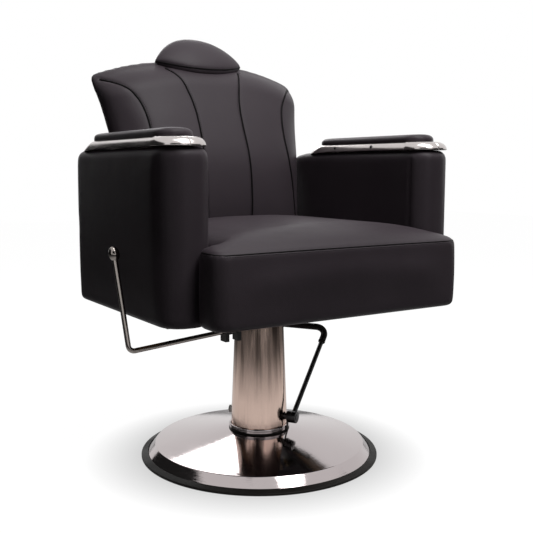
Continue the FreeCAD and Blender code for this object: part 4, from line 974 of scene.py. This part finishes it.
cap_outer = np.stack([cap_line(share) for share in band_shares])
cap_ahead = np.gradient(cap_outer[..., :2], axis=1)
cap_normal = unit(np.stack([cap_ahead[..., 1], -cap_ahead[..., 0]], -1))
cap_inner = cap_outer - at_height(cap_normal * CAP_SHEET, 0.0)
lip = LIP_OUT * np.exp(-((CAP_REAR - cap_outer[..., 1] - LIP_PLACE) / LIP_WIDTH) ** 2)
cap_outer[..., :2] += cap_normal * lip[..., None]
cap_shell = np.concatenate([cap_outer, cap_inner[::-1], cap_outer[:1]]) + to_left_arm
cap_ends = [np.stack([cap_outer[:, k], cap_inner[:, k]]) + to_left_arm for k in (0, -1)]
both_sides("arm_cap", grid_mesh(cap_shell, *cap_ends), chrome)
SCREW_RADIUS = 0.0042
SCREW_DOME = 0.0018
SCREW_ROOT = -0.003
SCREW_SIDE = 0.0516
SCREW_HEIGHT = 0.7745
SCREW_AXIS = (-1, 0, 0.12)
screw_dome = np.stack([SCREW_DOME * np.sin(quarter), SCREW_RADIUS * np.cos(quarter)], 1)
screw_profile = np.concatenate([[(SCREW_ROOT, 0), (SCREW_ROOT, SCREW_RADIUS)], screw_dome])
screw_places = [(ARM_MIDDLE - SCREW_SIDE, y, SCREW_HEIGHT) for y in (0.063, -0.087)]
screw_heads = [drum(screw_profile, place, SCREW_AXIS, 20) for place in screw_places]
both_sides("trim_screws", grid_mesh(*screw_heads), enamel, stands_for_node=False)

# Arm pads: firm black pads with a domed top, held down inside the chrome bands by screws from below.
# They are moulded foam with the same leathery skin.
PAD_HALF = 0.0425
PAD_FRONT = -0.2390
PAD_REAR = 0.1620
PAD_CORNER = 0.040
PAD_FOOT = 0.7800
PAD_EDGE = 0.7905
PAD_ROLL = 0.009
PAD_DOME = 0.0025


def pad_level(inset, height):
    """One outline of the pad drawn in by inset: its inner and outer halves from front to rear."""
    half = PAD_HALF - inset
    front = PAD_FRONT + inset
    rear = PAD_REAR - inset
    corner = PAD_CORNER - inset
    side = open_line([(0, front, 0), (half, front, corner), (half, rear, corner), (0, rear, 0)], 80)
    return at_height(np.concatenate([side, side[::-1] * (-1, 1), side[:1]]), height)


def pad_top(x, y):
    """Domed top of the pad: it falls from the middle to the sides with the square of the distance."""
    out = (x - ARM_MIDDLE) / (PAD_HALF - PAD_ROLL)
    return PAD_EDGE + PAD_ROLL + PAD_DOME * np.clip(1 - out ** 2, 0, 1)


def pad_free(points):
    """How far the pad may swell: not where it stands in the band."""
    return ramp(points[:, 2], 0.786, 0.01)


pad_levels = [(0.0, height) for height in np.linspace(PAD_FOOT, PAD_EDGE, 6)]
pad_levels += [(PAD_ROLL * (1 - np.cos(a)), PAD_EDGE + PAD_ROLL * np.sin(a)) for a in quarter[1:]]
pad_wall = np.stack([pad_level(*place) for place in pad_levels]) + to_left_arm
pad_mesh = grid_mesh(pad_wall, lid(pad_wall[-1], 18, pad_top), lid(pad_wall[0], 18, level(PAD_FOOT)))
pad_left = padded_piece("arm_pad_left", "seat", pad_mesh, pad_free, voxel=0.004, cap=0.0015,
                        smooth=3)
padded_twin(pad_left, "arm_pad_right")

# Back: foam on a leaning plywood board under leatherette in five front panels, wider and rolled over at
# the top. The seams between the panels fan out towards the top edge.
BACK_FOOT = 0.4525
BACK_SHOULDER = 0.958
BACK_ARCH = 0.054
CORNER_START = 0.94
CORNER_SHARE = 0.06
CORNER_DROP = 0.016
TOP_CURL = 0.055
TOP_CURL_REACH = 0.07
EDGE_ROLL = 0.024
LEAST_HALF_DEPTH = 0.016


def by_height(z, *pairs):
    """A value that runs smoothly through (height, value) pairs.
    Between two pairs it is the cubic that keeps the slope at each of them."""
    heights, values = np.array(pairs).T
    slope = np.gradient(values, heights)
    k = np.clip(np.searchsorted(heights, z) - 1, 0, len(heights) - 2)
    step = heights[k + 1] - heights[k]
    t = np.clip((z - heights[k]) / step, 0, 1)
    return ((1 + 2 * t) * (1 - t) ** 2 * values[k] + t * (1 - t) ** 2 * step * slope[k]
            + t ** 2 * (3 - 2 * t) * values[k + 1] + t ** 2 * (t - 1) * step * slope[k + 1])


def back_half(z):
    """Half the back's width at a height."""
    return by_height(z, (0.45, 0.266), (0.585, 0.269), (0.76, 0.277), (0.875, 0.295), (0.95, 0.311),
                     (1.02, 0.313))


def back_top(u):
    """Height of the top edge across the back, u from -1 to 1: an arch with rounded corners."""
    corner = ramp(np.abs(u), CORNER_START, CORNER_SHARE)
    drop = CORNER_DROP * (1 - np.sqrt(1 - corner ** 2))
    return BACK_SHOULDER + BACK_ARCH * (1 - np.abs(u) ** 2.2) - drop


def back_front(u, z):
    """Depth of the front face: it leans, curls back towards the sides and rolls over below the top edge."""
    lean = by_height(z, (0.45, 0.134), (0.585, 0.143), (0.76, 0.163), (0.84, 0.194), (0.92, 0.230),
                     (1.02, 0.276))
    curl_back = by_height(z, (0.45, 0.060), (0.6, 0.066), (0.76, 0.062), (0.84, 0.055), (0.92, 0.040),
                          (1.02, 0.020))
    below = ramp(back_top(u) - z, 0, TOP_CURL_REACH)
    return lean + curl_back * np.abs(u) ** 4.5 + TOP_CURL * (1 - below) ** 1.8


def back_rear(z):
    """Depth of the rear face."""
    return by_height(z, (0.45, 0.236), (0.585, 0.244), (0.76, 0.279), (0.875, 0.311), (0.95, 0.331),
                     (1.02, 0.336))


def back_free(points):
    """How far the back may swell: not at its foot, little at the rear, and less towards its edges."""
    x, y, z = points.T
    u = np.clip(x / back_half(z), -1, 1)
    edge = ramp((1 - np.abs(u)) * back_half(z), 0, 0.04) * ramp(back_top(u) - z, 0, 0.04)
    return ramp(z, 0.56, 0.06) * np.where(y > back_rear(z) - 0.02, 0.2, 1) * edge


def back_line(*pairs):
    """A seam on the front of the back through (height, distance from the middle) pairs, from foot to top."""
    z = np.linspace(pairs[0][0], pairs[-1][0], 80)
    x = by_height(z, *pairs)
    return np.stack([x, back_front(x / back_half(z), z), z], 1)


back_u = np.sin(np.linspace(-np.pi / 2, np.pi / 2, 161))
back_w = np.sin(np.linspace(0, np.pi / 2, 150))[:, None]
back_z = BACK_FOOT + back_w * (back_top(back_u) - BACK_FOOT)
back_x = back_u * back_half(back_z)
top_in = ramp(back_top(back_u) - back_z, 0, EDGE_ROLL)
side_in = ramp((1 - np.abs(back_u)) * back_half(back_z), 0, EDGE_ROLL)
back_swell = np.sqrt(1 - (1 - top_in) ** 2) * np.sqrt(1 - (1 - side_in) ** 2)
back_middle = (back_front(back_u, back_z) + back_rear(back_z)) / 2
back_depth = np.maximum((back_rear(back_z) - back_front(back_u, back_z)) / 2, LEAST_HALF_DEPTH) * back_swell
front_face = np.stack([back_x, back_middle - back_depth, back_z], -1)
rear_face = np.stack([back_x, back_middle + back_depth, back_z], -1)
back_mesh = grid_mesh(front_face, rear_face, np.stack([front_face[0], rear_face[0]]))
back = padded_piece("back_cushion", "back", back_mesh, back_free, voxel=0.0062, cap=0.006,
                    smooth=8)
back_seams = {
    "inner": back_line((0.56, 0.068), (0.76, 0.068), (0.84, 0.067), (0.88, 0.069), (0.92, 0.078),
                       (0.95, 0.088), (0.985, 0.112)),
    "outer": back_line((0.58, 0.238), (0.70, 0.212), (0.82, 0.201), (0.86, 0.206), (0.90, 0.222),
                       (0.92, 0.239), (0.94, 0.272), (0.948, 0.292)),
}
SIDES = {"left": 1, "right": -1}
for seam in back_seams.values():
    for sign in SIDES.values():
        sew(back, seam * (sign, 1, 1), depth=0.0055, width=0.0045)
for kind, seam in back_seams.items():
    for side, sign in SIDES.items():
        welt(f"back_{kind}_seam_{side}", back, seam * (sign, 1, 1), "back", radius=0.0024, lift=0.0006)
        stitch_row(f"back_{kind}_stitches_{side}", back, (seam - (STITCH_GAP, 0, 0)) * (sign, 1, 1), "back")

# Headrest: a lens-shaped foam pad on a plywood plate, tilted back over the top of the back, with piping
# along its lower edge. Its post slides in the socket behind the back.
HEAD_PLACE = np.array((0, 0.3091, 0.9953))
HEAD_LEAN = math.radians(45.8)
HEAD_HALF = 0.1345
HEAD_TIP = 0.0044
HEAD_LOWER = 0.053
HEAD_UPPER = 0.0878
HEAD_EDGE = 0.0186
HEAD_SWELL = 0.0229
HEAD_SEAM_HALF = 0.131
HEAD_SEAM_SHARE = 0.05
head_up = np.array((0, math.sin(HEAD_LEAN), math.cos(HEAD_LEAN)))
head_out = np.array((0, -math.cos(HEAD_LEAN), math.sin(HEAD_LEAN)))


def head_place(x, t, front):
    """A point of the headrest: x across, t from the lower to the upper edge, on its front or rear face.
    Its height and thickness fall to the tips as one minus a power of the distance from the middle."""
    full = 1 - np.abs(x / HEAD_HALF) ** 2.25
    up = HEAD_TIP - HEAD_LOWER * full + (HEAD_LOWER + HEAD_UPPER) * full * t
    swell = HEAD_SWELL * full ** 0.7 * np.clip(1 - (2 * t - 1) ** 2, 0, 1) ** 0.6
    out = (HEAD_EDGE * (0.35 + 0.65 * full) + swell) * front
    return np.stack([x, 0 * x, 0 * x], -1) + HEAD_PLACE + up[..., None] * head_up + out[..., None] * head_out


def head_free(points):
    """How far the headrest may swell: not on its plate."""
    return ramp((points - HEAD_PLACE) @ head_out, 0.004, 0.01)


head_x = (HEAD_HALF * np.sin(np.linspace(-np.pi / 2, np.pi / 2, 81)))[:, None] + np.zeros(41)
head_t = np.linspace(0, 1, 41) + np.zeros((81, 1))
head_front = head_place(head_x, head_t, 1.0)
head_rear = head_place(head_x, head_t, 0.0)
head_edges = [np.stack([head_front[:, k], head_rear[:, k]]) for k in (0, -1)]
head_mesh = grid_mesh(head_front, head_rear, *head_edges)
headrest = padded_piece("headrest_cushion", "headrest", head_mesh, head_free, voxel=0.004, cap=0.005)
seam_x = np.linspace(-HEAD_SEAM_HALF, HEAD_SEAM_HALF, 90)
head_seam = head_place(seam_x, np.full(90, HEAD_SEAM_SHARE), 1.0)
sew(headrest, head_seam, depth=0.0015, width=0.003)
welt("headrest_seam", headrest, head_seam, "headrest", radius=0.0018, lift=0.0004, plane=head_out)

# Recline lever: a bent chrome rod under the right side of the seat with an egg-shaped chrome knob.
# Turning it presses the release of the recline lock.
LEVER_PLACE = np.array((-0.403, -0.115, 0.3292))
LEVER_RISE = math.radians(4.6)
LEVER_INWARDS = 0.2789
LEVER_LEG = 0.2066
LEVER_BEND = 0.013
LEVER_RADIUS = 0.00575
KNOB_HALF = 0.016
KNOB_RADIUS = 0.012
# The lever's chrome is dark: a painted reflection of the black seat above it.
lever_metal = chrome_finish("lever_metal", (0.08, 0.16), (0.30, 0.27, 0.25))
lever_in = np.array((math.cos(LEVER_RISE), 0, math.sin(LEVER_RISE)))
lever_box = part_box("lever_knob")
knob_middle = (np.array(lever_box[0]) + np.array(lever_box[1])) / 2
leg = unit(knob_middle - LEVER_PLACE)
lever_path = round_corners([
    (*(LEVER_PLACE + LEVER_INWARDS * lever_in), 0),
    (*LEVER_PLACE, LEVER_BEND),
    (*(LEVER_PLACE + LEVER_LEG * leg), 0),
], 16, False)
lever_mesh = grid_mesh(tube(lever_path, LEVER_RADIUS, 0.002, np.cross(lever_in, leg)))
add_piece("lever_bar", lever_mesh, "lever", lever_metal)
knob_turn = np.linspace(0, np.pi, 33)
knob_radius = KNOB_RADIUS * np.sin(knob_turn) * (1 + 0.05 * np.cos(knob_turn))
knob_profile = np.stack([-KNOB_HALF * np.cos(knob_turn), knob_radius], 1)
knob_mesh = grid_mesh(drum(knob_profile, knob_middle, leg))
add_piece("lever_knob", knob_mesh, "lever", lever_metal)


# Studio floor and lamps: a pale floor that keeps the shadow and has a painted shadow round the chair, and
# three soft lamps.
# Two of them light the front from above, and a weak one lights the rear.
def floor_finish():
    """Pale floor: the camera sees it turn white with distance from the chair, and greyer near the chair as a
    painted shadow.
    Metal and glass see a painted glow on it, bright in the middle and dark far out, which gives the chrome
    its contrast."""
    made, tree, shader, place = finish_of("floor", (0.11, 0.11, 0.11), 0.9, extra={
        "Specular IOR Level": 0.0, "Emission Color": (1, 1, 1, 1)})
    rays = tree.nodes.new("ShaderNodeLightPath").outputs
    reach = tree.nodes.new("ShaderNodeVectorMath")
    reach.operation = "LENGTH"
    tree.links.new(place, reach.inputs[0])
    far = reach.outputs["Value"]
    # Painted shadow: the camera sees less glow near the chair.
    seen = math_of(tree, "MULTIPLY", rays["Is Camera Ray"], spread_of(tree, far, 0.64, 0.99, 0.295, 0.44))
    # Painted reflection: metal and glass see a glow, bright near the chair and dark far out.
    mirror = math_of(tree, "MAXIMUM", rays["Is Glossy Ray"], rays["Is Transmission Ray"])
    mirror = math_of(tree, "MULTIPLY", mirror, spread_of(tree, far, 0.56, 0.05, 0.7, 1.6))
    tree.links.new(math_of(tree, "ADD", seen, mirror), shader.inputs["Emission Strength"])
    return made


def softbox(name, place, aim, size, power):
    """A rectangular lamp that looks at a point."""
    lamp = bpy.data.lights.new(name, "AREA")
    lamp.shape = "RECTANGLE"
    lamp.size, lamp.size_y = size
    lamp.energy = power
    stand = put_in(name, lamp)
    ahead = np.array(aim, float) - place
    flat = math.hypot(ahead[0], ahead[1])
    stand.location = place
    stand.rotation_euler = (math.pi / 2 + math.atan2(ahead[2], flat), 0, math.atan2(-ahead[0], ahead[1]))


FLOOR_HALF = 9.0
floor_corners = [[(x, y, 0) for x in (-FLOOR_HALF, FLOOR_HALF)] for y in (-FLOOR_HALF, FLOOR_HALF)]
floor = put_in("floor", grid_mesh(np.array(floor_corners)))
floor.data.materials.append(floor_finish())
softbox("key", (0.2, -0.65, 3.2), (0, 0, 0.6), (1.6, 1.2), 34)
softbox("front", (0.35, -1.85, 2.9), (0, 0, 0.7), (1.2, 0.9), 36)
softbox("rear", (0.9, 2.6, 2.2), (0, 0, 0.6), (1.2, 0.9), 13)

# Black flags: dark panels that the arms' sides and the chrome mirror, and that the camera does not see.
# They stand at the picture's left, at its right and behind the camera, as in a studio.
flag_look = finish_of("flag", (0.01, 0.01, 0.01), 0.9)[0]


def flag(name, first, second, height, foot=0.01):
    """An upright dark panel between two places, from a foot to a height."""
    sides = np.array([[(*first, foot), (*second, foot)], [(*first, height), (*second, height)]])
    panel = put_in(name, grid_mesh(sides))
    panel.data.materials.append(flag_look)
    panel.visible_camera = False


flag("flag_rear", (-3.2, -0.6), (-0.9, 3.4), 2.3)
flag("flag_front", (0.9, -3.3), (3.4, -1.4), 1.9)
flag("flag_camera", (-3.4, -2.4), (-0.6, -4.0), 3.4, 1.0)

# Surroundings and camera: white for the camera and for what metal mirrors, and hardly any light from it.
# The camera stands in front of the chair at its right, as the photograph was taken.
world = bpy.data.worlds.new("studio")
scene.world = world
world.use_nodes = True
world_tree = world.node_tree
sky = world_tree.nodes["Background"]
sky.inputs["Color"].default_value = (1, 1, 1, 1)
rays = world_tree.nodes.new("ShaderNodeLightPath").outputs
white = math_of(world_tree, "MAXIMUM", rays["Is Camera Ray"], rays["Is Glossy Ray"])
white = math_of(world_tree, "MAXIMUM", white, rays["Is Transmission Ray"])
world_tree.links.new(spread_of(world_tree, white, 0.015, 1.0, 0, 1), sky.inputs["Strength"])
CAMERA_DIP = 6.948
CAMERA_TURN = -32.396
camera_lens = bpy.data.cameras.new("camera")
camera_lens.sensor_width = 36
camera_lens.lens = 54.594
camera_lens.shift_x = 0.01386
camera = put_in("camera", camera_lens)
camera.location = (-1.078, -1.6989, 0.721)
camera.rotation_euler = (math.radians(90 - CAMERA_DIP), 0, math.radians(CAMERA_TURN))
scene.camera = camera
scene.view_settings.view_transform = "Standard"
